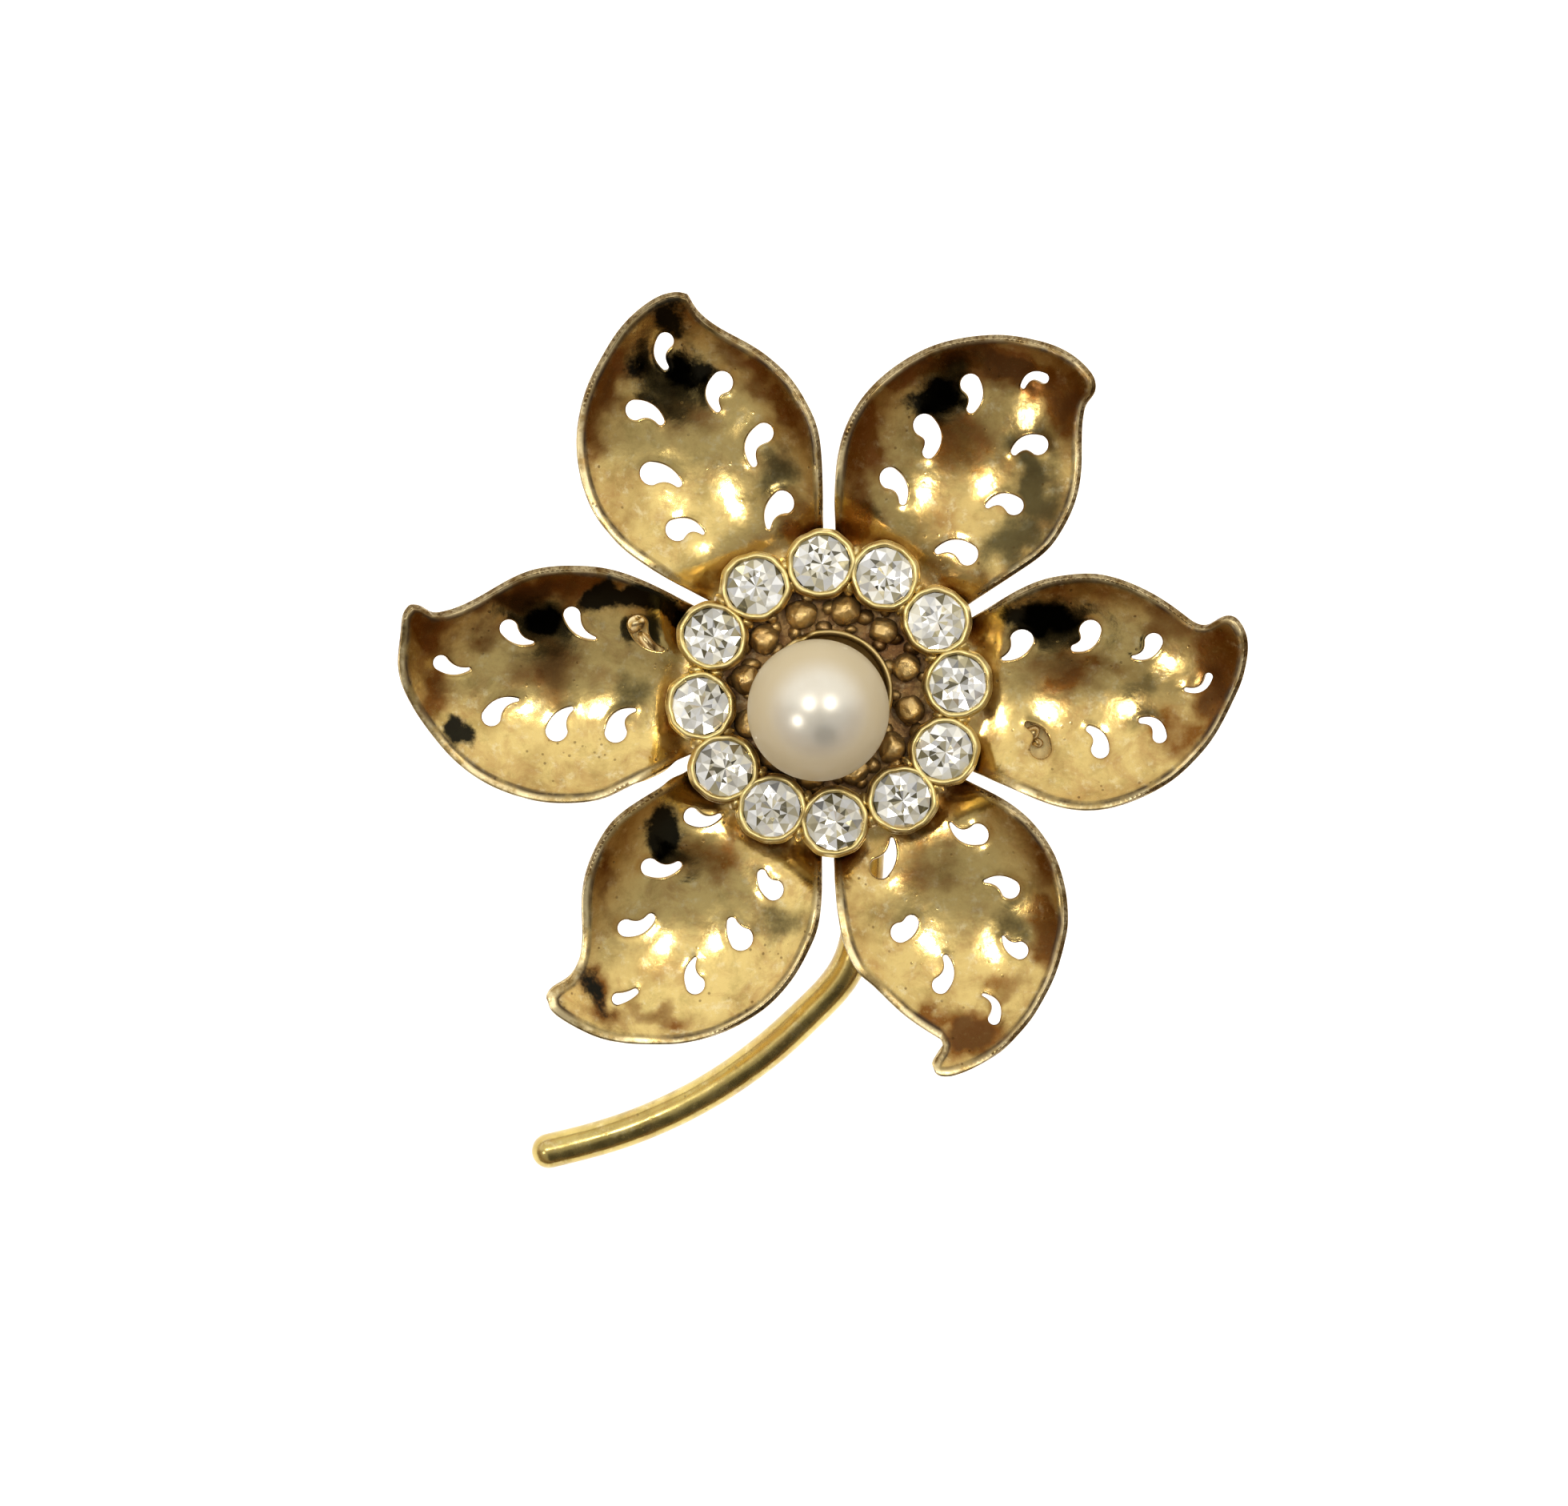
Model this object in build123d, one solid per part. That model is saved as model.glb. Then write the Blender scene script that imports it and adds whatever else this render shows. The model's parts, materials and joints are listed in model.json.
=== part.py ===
from build123d import *
import math
import os

# ---------------------------------------------------------------------------
# Flower brooch: six pierced dish petals, a crown of twelve set stones, a ring
# of granules, one large pearl in a cup, a curved stem, and on the back a bar
# with a hinged pin and a turning safety catch.
#
# Millimetres.  The brooch lies on its back: +Z is the way the flower faces,
# +Y is up the flower (the stem runs down to -Y).  While it is being built the
# flower axis is at x = y = 0; every solid is moved by SHIFT on export so the
# origin ends up in the middle of the underside of the whole brooch.
# ---------------------------------------------------------------------------

# --- driving dimensions -----------------------------------------------------
SHIFT = (0.375, 2.64)       # flower axis, from the middle of the outline

# pin-back, seen along the flower axis
PIN_MID = (0.75, 0.30)      # middle of the bar
PIN_TURN = -14.8            # degrees the bar is turned from +X
AXIS_Z = 1.60               # height of the hinge axis and of the closed pin
BAR_LENGTH = 29.2
BAR_WIDTH = 4.5
BAR_Z0, BAR_Z1 = 4.40, 5.20
HINGE_S = -13.2             # hinge, measured along the bar from PIN_MID
EAR_GAP = 1.80
EAR_THICK = 0.60
EAR_R = 1.60
RIVET_R = 0.45
RIVET_HEAD_R = 0.80
RIVET_HEAD = 0.35
KNUCKLE_R = 1.10
KNUCKLE_BORE_R = 0.50
KNUCKLE_WIDTH = 1.70
WIRE_R = 0.45
WIRE_S0, WIRE_S1 = -12.6, 11.0
NECK_R = 0.72
NECK_S0, NECK_S1 = -12.4, -11.2
TIP_S = 14.9
TIP_R = 0.06
CATCH_S = 12.8
CATCH_LENGTH = 2.6
CATCH_R = 1.69
CATCH_BORE_R = 1.05
CATCH_SLOT = 1.10
ROTOR_R = 1.00
ROTOR_BORE_R = 0.55
FLANGE_R = 1.25
FLANGE_GAP = 0.05
FLANGE_IN = 0.40
FLANGE_OUT = 0.50
LEVER_LENGTH = 2.50
LEVER_WIDTH = 0.90

# hub stack
HUB_R = 7.5
HUB_Z0, HUB_Z1 = 5.20, 6.00
HUB_BOSS_R = 4.0
HUB_BOSS_Z = 6.60
BEAD_PLATE_R = 8.2
BEAD_PLATE_Z1 = 7.20
BEAD_R = 1.03
BEAD_RING_R = 5.20
BEAD_CENTRE_Z = 7.75
BEAD_ANGLES = (19, 49, 79, 109, 139.5, 170, 201, 229.7, 258, 289, 319, 348.5)

# petals
PETAL_Z0 = 6.03             # a hair of solder above the hub plate
PETAL_THICK = 0.54
PETAL_INNER_R = 4.5
PETAL_INNER_TURN = 24.0
DISH_CENTRE = 16.0
DISH_R_LONG = 16.5          # bowl radius along the petal and across it
DISH_R_CROSS = 11.5
DISH_RIM = 0.12             # how much the rim turns up beyond the bowl

# crown of stones
STONE_RING_R = 8.04
STONE_ANGLES = (4, 33.7, 64.5, 93.5, 124.7, 154.2,
                186, 215.7, 243.7, 272.5, 304.5, 333)
CUP_R = 2.15
CUP_Z0, CUP_Z1 = 7.20, 9.80
WEB_R0, WEB_R1 = 7.20, 8.90
WEB_Z1 = 8.60
STONE_R = 1.80
STONE_SEAT_Z = 9.20
STONE_GIRDLE = 0.20
STONE_TABLE_R = 1.00
STONE_TABLE_Z = 10.05
STONE_POINT_Z = 7.55
STONE_LEDGE_R = 1.62
LIP_R = 1.72
LIP_Z = 9.50

# pearl and its cup
PEARL_CUP_R = 4.0
PEARL_CUP_WALL = 0.45
PEARL_CUP_FLOOR_Z = 7.70
PEARL_CUP_RIM_Z = 9.00
STUD_R = 0.80
PEARL_R = 4.40
PEARL_CENTRE = (-0.685, -1.115, 12.85)
PEG_R = 0.40
PEG_Z0 = 6.40
PEG_BEND_Z = 7.95

# stem
STEM_WIDTH = 2.2
STEM_HEIGHT = 1.6
STEM_PATH = [(2.30, -3.30), (2.40, -7.00), (2.40, -10.50), (2.02, -14.20),
             (1.20, -17.27), (0.06, -18.88), (-1.25, -20.20), (-2.90, -21.77),
             (-5.02, -23.50), (-7.41, -25.12), (-9.98, -26.50),
             (-12.72, -27.65), (-15.40, -28.48), (-17.77, -29.06)]

# Petals.  "turn" is the direction of the petal's length, "edge" its outline
# (mm from the flower axis, anticlockwise), "rim" the Fourier terms of the
# distance of the dish rim from the dish centre, "commas" the comma-shaped
# piercings: head x, head y, head radius, tail x, tail y, bend, tail radius.
PETALS = {
    "petal_right": {
        "turn": 0,
        "edge": [
            (9.10, -4.95), (11.63, -6.05), (13.59, -6.88), (15.51, -7.31), (16.40, -7.33), (17.72, -7.15),
            (19.47, -6.55), (20.73, -5.91), (21.71, -5.23), (22.77, -4.24), (23.69, -3.17), (25.25, -0.32),
            (25.62, 0.55), (25.93, 1.78), (26.02, 3.00), (25.81, 3.89), (25.54, 4.36), (25.15, 4.73),
            (24.55, 4.77), (23.65, 4.28), (23.23, 4.25), (22.29, 4.77), (20.43, 6.06), (19.51, 6.54),
            (17.96, 7.14), (16.73, 7.40), (14.70, 7.33), (13.64, 7.14), (9.92, 5.31),
        ],
        "rim": (8.672, -0.934, 0.180, 1.963, 0.080, -0.488, 0.283),
        "commas": [
            (16.38, 3.99, 0.73, 15.41, 2.88, 0.45, 0.28),
            (12.10, 3.36, 0.75, 10.97, 2.18, 0.31, 0.14),
            (20.38, 3.26, 0.61, 19.11, 2.30, 0.43, 0.14),
            (23.81, 1.02, 0.29, 22.41, 0.22, 0.51, 0.17),
            (20.76, -2.75, 0.49, 19.64, -1.76, -0.55, 0.23),
            (17.01, -3.61, 0.61, 16.36, -2.31, -0.40, 0.27),
            (13.24, -3.56, 0.70, 12.45, -2.05, -0.42, 0.22),
        ],
    },
    "petal_upper_right": {
        "turn": 60,
        "edge": [
            (8.71, 5.51), (11.92, 7.61), (13.81, 9.11), (14.55, 10.18), (15.22, 11.55), (15.73, 13.85),
            (15.88, 17.40), (16.05, 17.97), (16.49, 18.59), (16.58, 19.05), (16.47, 19.55), (16.18, 20.01),
            (14.97, 21.10), (13.80, 21.68), (12.51, 22.04), (11.00, 22.28), (9.41, 22.26), (7.77, 22.01),
            (6.31, 21.57), (5.36, 21.12), (3.81, 20.12), (2.32, 18.70), (1.36, 17.27), (0.92, 16.26),
            (0.52, 14.60), (0.42, 10.22),
        ],
        "rim": (8.711, -0.794, -0.117, 1.884, -0.213, -0.622, -0.228),
        "commas": [
            (13.49, 19.69, 0.37, 12.19, 19.22, -0.58, 0.20),
            (8.86, 19.41, 0.68, 8.93, 17.86, 0.38, 0.33),
            (5.94, 16.82, 0.76, 6.23, 15.12, 0.47, 0.45),
            (13.19, 15.52, 0.67, 11.70, 15.14, -0.42, 0.28),
            (3.76, 13.47, 0.71, 4.60, 12.04, 0.36, 0.29),
            (11.68, 11.67, 0.64, 10.03, 11.71, -0.47, 0.22),
            (8.77, 8.64, 0.69, 6.87, 8.91, -0.41, 0.23),
        ],
    },
    "petal_upper_left": {
        "turn": 120,
        "edge": [
            (-0.34, 10.63), (-0.43, 14.30), (-0.54, 15.58), (-0.77, 16.65), (-1.40, 18.07), (-2.41, 19.61),
            (-3.30, 20.52), (-4.64, 21.53), (-7.83, 23.45), (-8.18, 23.80), (-8.76, 24.71), (-9.28, 24.84),
            (-9.83, 24.81), (-10.46, 24.64), (-11.12, 24.30), (-12.15, 23.53), (-13.08, 22.56), (-14.15, 20.93),
            (-15.03, 19.20), (-15.41, 18.04), (-15.69, 16.50), (-15.72, 15.20), (-15.51, 13.57), (-15.13, 12.24),
            (-14.55, 11.03), (-13.78, 10.00), (-12.75, 8.92), (-12.28, 8.55), (-7.40, 5.78),
        ],
        "rim": (8.781, -0.377, -0.595, 2.078, 0.004, -0.691, -0.349),
        "commas": [
            (-10.22, 22.05, 0.57, -10.23, 20.45, -0.42, 0.25),
            (-6.64, 19.50, 0.74, -6.96, 17.87, -0.51, 0.27),
            (-12.15, 17.75, 0.68, -10.57, 17.07, 0.34, 0.29),
            (-3.98, 16.31, 0.67, -4.63, 14.40, -0.50, 0.27),
            (-11.16, 13.74, 0.78, -9.47, 13.15, 0.28, 0.30),
            (-2.84, 11.98, 0.76, -3.77, 10.44, -0.33, 0.17),
            (-9.56, 10.16, 0.75, -7.93, 10.01, 0.42, 0.17),
        ],
    },
    "petal_left": {
        "turn": 180,
        "edge": [
            (-8.56, 5.56), (-11.85, 7.12), (-13.80, 7.73), (-15.55, 7.91), (-17.29, 7.86), (-18.28, 7.70),
            (-19.25, 7.38), (-24.00, 5.07), (-24.74, 5.04), (-25.45, 5.43), (-25.99, 5.46), (-26.37, 5.00),
            (-26.55, 4.17), (-26.77, 1.80), (-26.63, 0.80), (-26.24, -0.22), (-24.64, -2.71), (-23.53, -4.00),
            (-22.48, -4.91), (-20.99, -5.82), (-19.64, -6.36), (-18.17, -6.75), (-15.90, -6.86), (-14.82, -6.76),
            (-13.90, -6.53), (-12.97, -6.11), (-9.55, -4.23),
        ],
        "rim": (8.906, -0.517, -0.744, 2.145, -0.046, -0.445, -0.319),
        "commas": [
            (-16.06, 4.98, 0.57, -14.65, 3.51, -0.34, 0.14),
            (-20.06, 4.11, 0.61, -18.59, 3.24, -0.32, 0.14),
            (-24.30, 1.90, 0.53, -22.59, 1.53, -0.30, 0.14),
            (-21.18, -1.51, 0.65, -19.54, -0.43, 0.36, 0.14),
            (-17.07, -2.40, 0.74, -16.13, -1.00, 0.29, 0.18),
            (-13.32, -2.49, 0.73, -12.17, -1.08, 0.46, 0.15),
            (-11.98, 4.40, 0.62, -10.50, 2.75, -0.34, 0.14),
        ],
    },
    "petal_lower_left": {
        "turn": 240,
        "edge": [
            (-8.99, -4.93), (-11.77, -6.66), (-13.34, -7.84), (-14.71, -9.96), (-15.03, -10.75), (-15.35, -12.08),
            (-15.69, -17.09), (-16.21, -17.91), (-17.19, -18.58), (-17.45, -18.98), (-17.31, -19.59), (-16.79, -20.12),
            (-15.59, -20.87), (-14.36, -21.44), (-12.94, -21.77), (-11.10, -21.89), (-9.38, -21.85), (-7.73, -21.55),
            (-6.49, -21.14), (-5.13, -20.45), (-3.94, -19.64), (-2.78, -18.49), (-2.00, -17.43), (-1.23, -16.00),
            (-0.77, -14.90), (-0.54, -13.78), (-0.43, -10.24),
        ],
        "rim": (8.709, -0.978, -0.515, 1.916, -0.211, -0.420, -0.333),
        "commas": [
            (-8.66, -7.71, 0.55, -6.88, -7.71, -0.37, 0.17),
            (-11.27, -10.84, 0.61, -9.47, -10.72, -0.33, 0.29),
            (-3.39, -12.36, 0.67, -4.16, -11.36, 0.28, 0.33),
            (-12.77, -14.69, 0.58, -11.21, -14.09, -0.34, 0.34),
            (-5.45, -15.39, 0.82, -6.03, -14.37, 0.16, 0.36),
            (-8.36, -18.31, 0.66, -8.36, -16.68, 0.35, 0.14),
            (-13.26, -19.17, 0.41, -12.14, -18.72, -0.12, 0.24),
        ],
    },
    "petal_lower_right": {
        "turn": 300,
        "edge": [
            (0.33, -10.51), (0.62, -14.14), (0.92, -15.54), (1.42, -16.75), (2.00, -17.62), (2.41, -17.97),
            (4.56, -19.97), (7.04, -21.63), (7.13, -22.21), (6.55, -23.33), (6.59, -23.59), (6.74, -23.74),
            (7.15, -23.83), (7.84, -23.72), (10.03, -22.80), (10.69, -22.37), (11.72, -21.40), (12.77, -20.14),
            (13.35, -19.18), (13.95, -18.02), (14.71, -15.63), (14.90, -14.57), (14.91, -13.61), (14.76, -12.27),
            (14.51, -11.26), (14.14, -10.24), (13.47, -9.06), (12.62, -8.00), (11.75, -7.22), (8.60, -5.45),
        ],
        "rim": (8.341, -1.304, -0.184, 1.798, -0.322, -0.607, -0.413),
        "commas": [
            (9.43, -8.80, 0.69, 7.70, -8.22, 0.45, 0.14),
            (11.40, -12.20, 0.68, 9.85, -11.75, -0.30, 0.14),
            (4.40, -15.02, 0.67, 5.12, -14.40, -0.24, 0.54),
            (12.02, -16.13, 0.60, 11.00, -15.31, 0.31, 0.14),
            (6.96, -18.36, 0.58, 7.31, -16.62, -0.40, 0.23),
            (3.20, -11.00, 0.70, 3.98, -9.20, -0.30, 0.15),
            (10.35, -20.45, 0.42, 9.70, -18.95, -0.55, 0.14),
        ],
    },
}


# --- helpers ----------------------------------------------------------------
def smoothstep(t):
    t = max(0.0, min(1.0, t))
    return t * t * (3.0 - 2.0 * t)


def dish_height(rim, u, v):
    """Height of the underside of a petal above the hub, u outward, v across."""
    x, y = u - DISH_CENTRE, v
    th = math.atan2(y, x)
    rs = (rim[0] + rim[1] * math.cos(th) + rim[2] * math.sin(th)
          + rim[3] * math.cos(2 * th) + rim[4] * math.sin(2 * th)
          + rim[5] * math.cos(3 * th) + rim[6] * math.sin(3 * th))
    rho = math.hypot(x, y) / rs
    if rho <= 1.0:
        g = rho ** 4.5
    else:
        g = 1.0 + 0.3 * (1.0 - math.exp(-15.0 * (rho - 1.0)))
    lift = DISH_RIM * (2.55 + 1.15 * math.cos(th))
    fade = smoothstep((math.hypot(u, v) - 9.0) / 5.0)
    return fade * (x * x / (2 * DISH_R_LONG) + y * y / (2 * DISH_R_CROSS) + lift * g)


def corner_runs(points, limit=42.0):
    """Split an outline into smooth runs at its sharp corners."""
    runs, run = [], [points[0]]
    for i in range(1, len(points) - 1):
        ax, ay = points[i][0] - points[i - 1][0], points[i][1] - points[i - 1][1]
        bx, by = points[i + 1][0] - points[i][0], points[i + 1][1] - points[i][1]
        turn = abs(math.degrees(math.atan2(ax * by - ay * bx, ax * bx + ay * by)))
        run.append(points[i])
        if turn > limit:
            runs.append(run)
            run = [points[i]]
    run.append(points[-1])
    runs.append(run)
    return runs


def polar(r, deg):
    return (r * math.cos(math.radians(deg)), r * math.sin(math.radians(deg)))


def comma_outline(hx, hy, r0, tx, ty, bend, r1):
    """Closed outline of a comma: round head, bent tapering tail."""
    dx, dy = tx - hx, ty - hy
    cx, cy = (hx + tx) / 2 - bend * dy, (hy + ty) / 2 + bend * dx
    left, right = [], []
    n = 5
    for i in range(n + 1):
        s = i / n
        x = (1 - s) ** 2 * hx + 2 * s * (1 - s) * cx + s * s * tx
        y = (1 - s) ** 2 * hy + 2 * s * (1 - s) * cy + s * s * ty
        gx = 2 * (1 - s) * (cx - hx) + 2 * s * (tx - cx)
        gy = 2 * (1 - s) * (cy - hy) + 2 * s * (ty - cy)
        g = math.hypot(gx, gy)
        gx, gy = gx / g, gy / g
        r = r1 + (r0 - r1) * (1 - s)
        left.append((x - gy * r, y + gx * r))
        right.append((x + gy * r, y - gx * r))
        if i == 0:
            a0 = math.degrees(math.atan2(gy, gx))
        a1 = math.degrees(math.atan2(gy, gx))
    head = [(hx + r0 * math.cos(math.radians(a0 + d)),
             hy + r0 * math.sin(math.radians(a0 + d)))
            for d in (-126, -162, -198, -234)]
    tail = [(tx + r1 * math.cos(math.radians(a1)),
             ty + r1 * math.sin(math.radians(a1)))]
    # left side from head to tail, round the tail, right side back, round head
    return left + tail + right[::-1] + head


def prism(face, z0, z1):
    return extrude(Pos(0, 0, z0) * face, z1 - z0, dir=(0, 0, 1))


def petal(data):
    turn, rim = math.radians(data["turn"]), data["rim"]
    cu, su = math.cos(turn), math.sin(turn)
    grid = []
    for i in range(34):
        u = 2.6 + i * 0.80
        row = []
        for j in range(31):
            v = -12.0 + j * 0.80
            row.append(Vector(u * cu - v * su, u * su + v * cu,
                              PETAL_Z0 + dish_height(rim, u, v)))
        grid.append(row)
    sheet = Face.make_surface_from_array_of_points(grid, tol=0.01)
    slab = Solid.extrude(sheet, Vector(0, 0, PETAL_THICK))
    edge = data["edge"]
    edges = []
    for run in corner_runs(edge):
        if len(run) > 2:
            edges.append(Edge.make_spline([Vector(x, y) for x, y in run]))
        else:
            edges.append(Edge.make_line(Vector(*run[0]), Vector(*run[1])))
    a = polar(PETAL_INNER_R, data["turn"] + PETAL_INNER_TURN)
    b = polar(PETAL_INNER_R, data["turn"] - PETAL_INNER_TURN)
    edges += [Edge.make_line(Vector(*edge[-1]), Vector(*a)),
              Edge.make_line(Vector(*a), Vector(*b)),
              Edge.make_line(Vector(*b), Vector(*edge[0]))]
    plan = Face(Wire(edges))
    cutter = prism(plan, 4.0, 16.0)
    body = slab & cutter
    holes = []
    for c in data["commas"]:
        pts = [Vector(x, y) for x, y in comma_outline(*c)]
        f = Face(Wire([Edge.make_spline(pts, periodic=True)]))
        holes.append(prism(f, 3.0, 17.0))
    return body - holes


def place_bar(shape):
    """From the pin's own frame (X along the bar, Y across) to the flower."""
    return Pos(PIN_MID[0], PIN_MID[1], 0) * Rot(0, 0, PIN_TURN) * shape


def rod(p, q, r):
    """Cylinder between two points."""
    d = Vector(*q) - Vector(*p)
    plane = Plane(origin=p, z_dir=d)
    return Solid.make_cylinder(r, d.length, plane)


def stone(angle):
    """Round brilliant with sixteen girdle corners, eight table corners."""
    cx, cy = polar(STONE_RING_R, angle)

    def ring(r, z, n, off=0.0):
        return [(cx + r * math.cos(math.radians(angle + off + 360 * k / n)),
                 cy + r * math.sin(math.radians(angle + off + 360 * k / n)), z)
                for k in range(n)]

    low = ring(STONE_R, STONE_SEAT_Z, 16)
    high = ring(STONE_R, STONE_SEAT_Z + STONE_GIRDLE, 16)
    pav = ring(STONE_LEDGE_R - 0.02, STONE_SEAT_Z, 16)
    table = ring(STONE_TABLE_R, STONE_TABLE_Z, 8)
    apex = (cx, cy, STONE_POINT_Z)
    polys = [table]
    for i in range(8):
        t0, t1 = table[i], table[(i + 1) % 8]
        g0, g1, g2 = high[2 * i], high[2 * i + 1], high[(2 * i + 2) % 16]
        polys += [[t0, g0, g1], [t0, g1, t1], [t1, g1, g2]]
    for j in range(16):
        k = (j + 1) % 16
        polys += [[low[j], low[k], high[k], high[j]],
                  [pav[j], pav[k], low[k], low[j]],
                  [pav[j], pav[k], apex]]
    faces = [Face(Wire.make_polygon([Vector(*p) for p in poly], close=True))
             for poly in polys]
    return Solid(Shell(faces))


# --- back: bar, hinge, pin, catch -------------------------------------------
def cyl_y(r, s, z, y0, y1):
    """Cylinder along the hinge direction (Y of the bar frame)."""
    return rod((s, y0, z), (s, y1, z), r)


def cyl_x(r, z, s0, s1):
    """Cylinder along the bar (X of the bar frame) on the pin axis."""
    return rod((s0, 0, z), (s1, 0, z), r)


def block(x0, x1, y0, y1, z0, z1):
    return Pos((x0 + x1) / 2, (y0 + y1) / 2, (z0 + z1) / 2) * Box(
        x1 - x0, y1 - y0, z1 - z0)


def make_pin_bar():
    half = BAR_LENGTH / 2
    plate = block(-half, half, -BAR_WIDTH / 2, BAR_WIDTH / 2, BAR_Z0, BAR_Z1)
    plate = fillet(plate.edges().filter_by(Axis.Z), 1.5)
    y_in, y_out = EAR_GAP / 2, EAR_GAP / 2 + EAR_THICK
    for sign in (-1, 1):
        a, b = sorted((sign * y_in, sign * y_out))
        ear = block(HINGE_S - EAR_R, HINGE_S + EAR_R, a, b, AXIS_Z, BAR_Z0 + 0.2)
        ear += cyl_y(EAR_R, HINGE_S, AXIS_Z, a, b)
        ear -= cyl_y(RIVET_R, HINGE_S, AXIS_Z, a - 0.5, b + 0.5)
        plate += ear
    return plate


def make_rivet():
    y = EAR_GAP / 2 + EAR_THICK
    body = cyl_y(RIVET_R, HINGE_S, AXIS_Z, -y, y)
    for sign in (-1, 1):
        a, b = sorted((sign * y, sign * (y + RIVET_HEAD)))
        head = cyl_y(RIVET_HEAD_R, HINGE_S, AXIS_Z, a, b)
        body += head
    return body


def make_pin_stem():
    knuckle = cyl_y(KNUCKLE_R, HINGE_S, AXIS_Z, -KNUCKLE_WIDTH / 2,
                    KNUCKLE_WIDTH / 2)
    wire = cyl_x(WIRE_R, AXIS_Z, WIRE_S0, WIRE_S1)
    point = Solid.make_cone(WIRE_R, TIP_R, TIP_S - WIRE_S1,
                            Plane(origin=(WIRE_S1, 0, AXIS_Z), z_dir=(1, 0, 0)))
    neck = Solid.make_cone(NECK_R, WIRE_R, NECK_S1 - NECK_S0,
                           Plane(origin=(NECK_S0, 0, AXIS_Z), z_dir=(1, 0, 0)))
    body = knuckle + neck + wire + point
    return body - cyl_y(KNUCKLE_BORE_R, HINGE_S, AXIS_Z, -2, 2)


def make_catch_housing():
    s0, s1 = CATCH_S - CATCH_LENGTH / 2, CATCH_S + CATCH_LENGTH / 2
    tube = cyl_x(CATCH_R, AXIS_Z, s0, s1)
    foot = block(s0, s1, -1.05, 1.05, AXIS_Z, BAR_Z0)
    pad = block(s0 - 0.9, s1, -1.7, 1.7, BAR_Z0 - 0.5, BAR_Z0)
    body = tube + foot + pad
    body -= cyl_x(CATCH_BORE_R, AXIS_Z, s0 - 1, s1 + 1)
    body -= block(s0 - 1, s1 + 1, -CATCH_SLOT / 2, CATCH_SLOT / 2,
                  AXIS_Z - CATCH_R - 1, AXIS_Z)
    return body


def make_catch_lock():
    s0, s1 = CATCH_S - CATCH_LENGTH / 2, CATCH_S + CATCH_LENGTH / 2
    a = s0 - FLANGE_GAP - FLANGE_IN
    b = s1 + FLANGE_GAP + FLANGE_OUT
    body = cyl_x(ROTOR_R, AXIS_Z, a, b)
    body += cyl_x(FLANGE_R, AXIS_Z, a, s0 - FLANGE_GAP)
    body += cyl_x(FLANGE_R, AXIS_Z, s1 + FLANGE_GAP, b)
    lever = block(s1 + FLANGE_GAP, b, 0.7, LEVER_LENGTH - LEVER_WIDTH / 2,
                  AXIS_Z - LEVER_WIDTH / 2, AXIS_Z + LEVER_WIDTH / 2)
    lever += rod((s1 + FLANGE_GAP, LEVER_LENGTH - LEVER_WIDTH / 2, AXIS_Z),
                 (b, LEVER_LENGTH - LEVER_WIDTH / 2, AXIS_Z), LEVER_WIDTH / 2)
    body += lever
    body -= cyl_x(ROTOR_BORE_R, AXIS_Z, a - 1, b + 1)
    body -= block(a - 1, b + 1, -CATCH_SLOT / 2, CATCH_SLOT / 2,
                  AXIS_Z - CATCH_R - 1, AXIS_Z)
    return body


# --- hub stack --------------------------------------------------------------
def disc(r, z0, z1):
    return rod((0, 0, z0), (0, 0, z1), r)


def make_hub_plate():
    body = disc(HUB_R, HUB_Z0, HUB_Z1) + disc(HUB_BOSS_R, HUB_Z0, HUB_BOSS_Z)
    return body - disc(STUD_R, HUB_Z0 - 1, HUB_BOSS_Z + 1)


def make_bead_plate():
    body = disc(BEAD_PLATE_R, HUB_BOSS_Z, BEAD_PLATE_Z1)
    body -= disc(STUD_R, HUB_BOSS_Z - 1, BEAD_PLATE_Z1 + 1)
    for a in BEAD_ANGLES:
        x, y = polar(BEAD_RING_R, a)
        bead = Pos(x, y, BEAD_CENTRE_Z) * Sphere(BEAD_R)
        bead &= Pos(x, y, BEAD_PLATE_Z1 - 0.1 + 1.5) * Box(3, 3, 3)
        body += bead
    return body


def make_crown_ring():
    body = disc(WEB_R1, CUP_Z0, WEB_Z1) - disc(WEB_R0, CUP_Z0 - 1, WEB_Z1 + 1)
    for a in STONE_ANGLES:
        x, y = polar(STONE_RING_R, a)
        body += rod((x, y, CUP_Z0), (x, y, CUP_Z1), CUP_R)
    for a in STONE_ANGLES:
        x, y = polar(STONE_RING_R, a)
        seat = STONE_SEAT_Z
        body -= rod((x, y, LIP_Z), (x, y, CUP_Z1 + 1), LIP_R)
        body -= rod((x, y, seat), (x, y, LIP_Z), STONE_R + 0.02)
        body -= Solid.make_cone(0.15, STONE_LEDGE_R, seat - STONE_POINT_Z + 0.15,
                                Plane(origin=(x, y, STONE_POINT_Z - 0.15)))
    return body


# --- pearl ------------------------------------------------------------------
def make_pearl_cup():
    body = disc(PEARL_CUP_R, BEAD_PLATE_Z1, PEARL_CUP_RIM_Z)
    body = fillet(body.edges().sort_by(Axis.Z)[0], 0.5)
    body -= disc(PEARL_CUP_R - PEARL_CUP_WALL, PEARL_CUP_FLOOR_Z,
                 PEARL_CUP_RIM_Z + 1)
    body += disc(STUD_R, HUB_Z0, BEAD_PLATE_Z1 + 0.1)
    return body - disc(PEG_R, PEG_Z0, PEARL_CUP_RIM_Z)


def make_peg():
    top = rod((0, 0, PEG_BEND_Z), PEARL_CENTRE, PEG_R)
    return (disc(PEG_R, PEG_Z0, PEG_BEND_Z)
            + Pos(0, 0, PEG_BEND_Z) * Sphere(PEG_R) + top)


def make_pearl():
    ball = Pos(*PEARL_CENTRE) * Sphere(PEARL_R)
    return ball - rod((0, 0, PEG_BEND_Z), PEARL_CENTRE, PEG_R)


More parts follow.
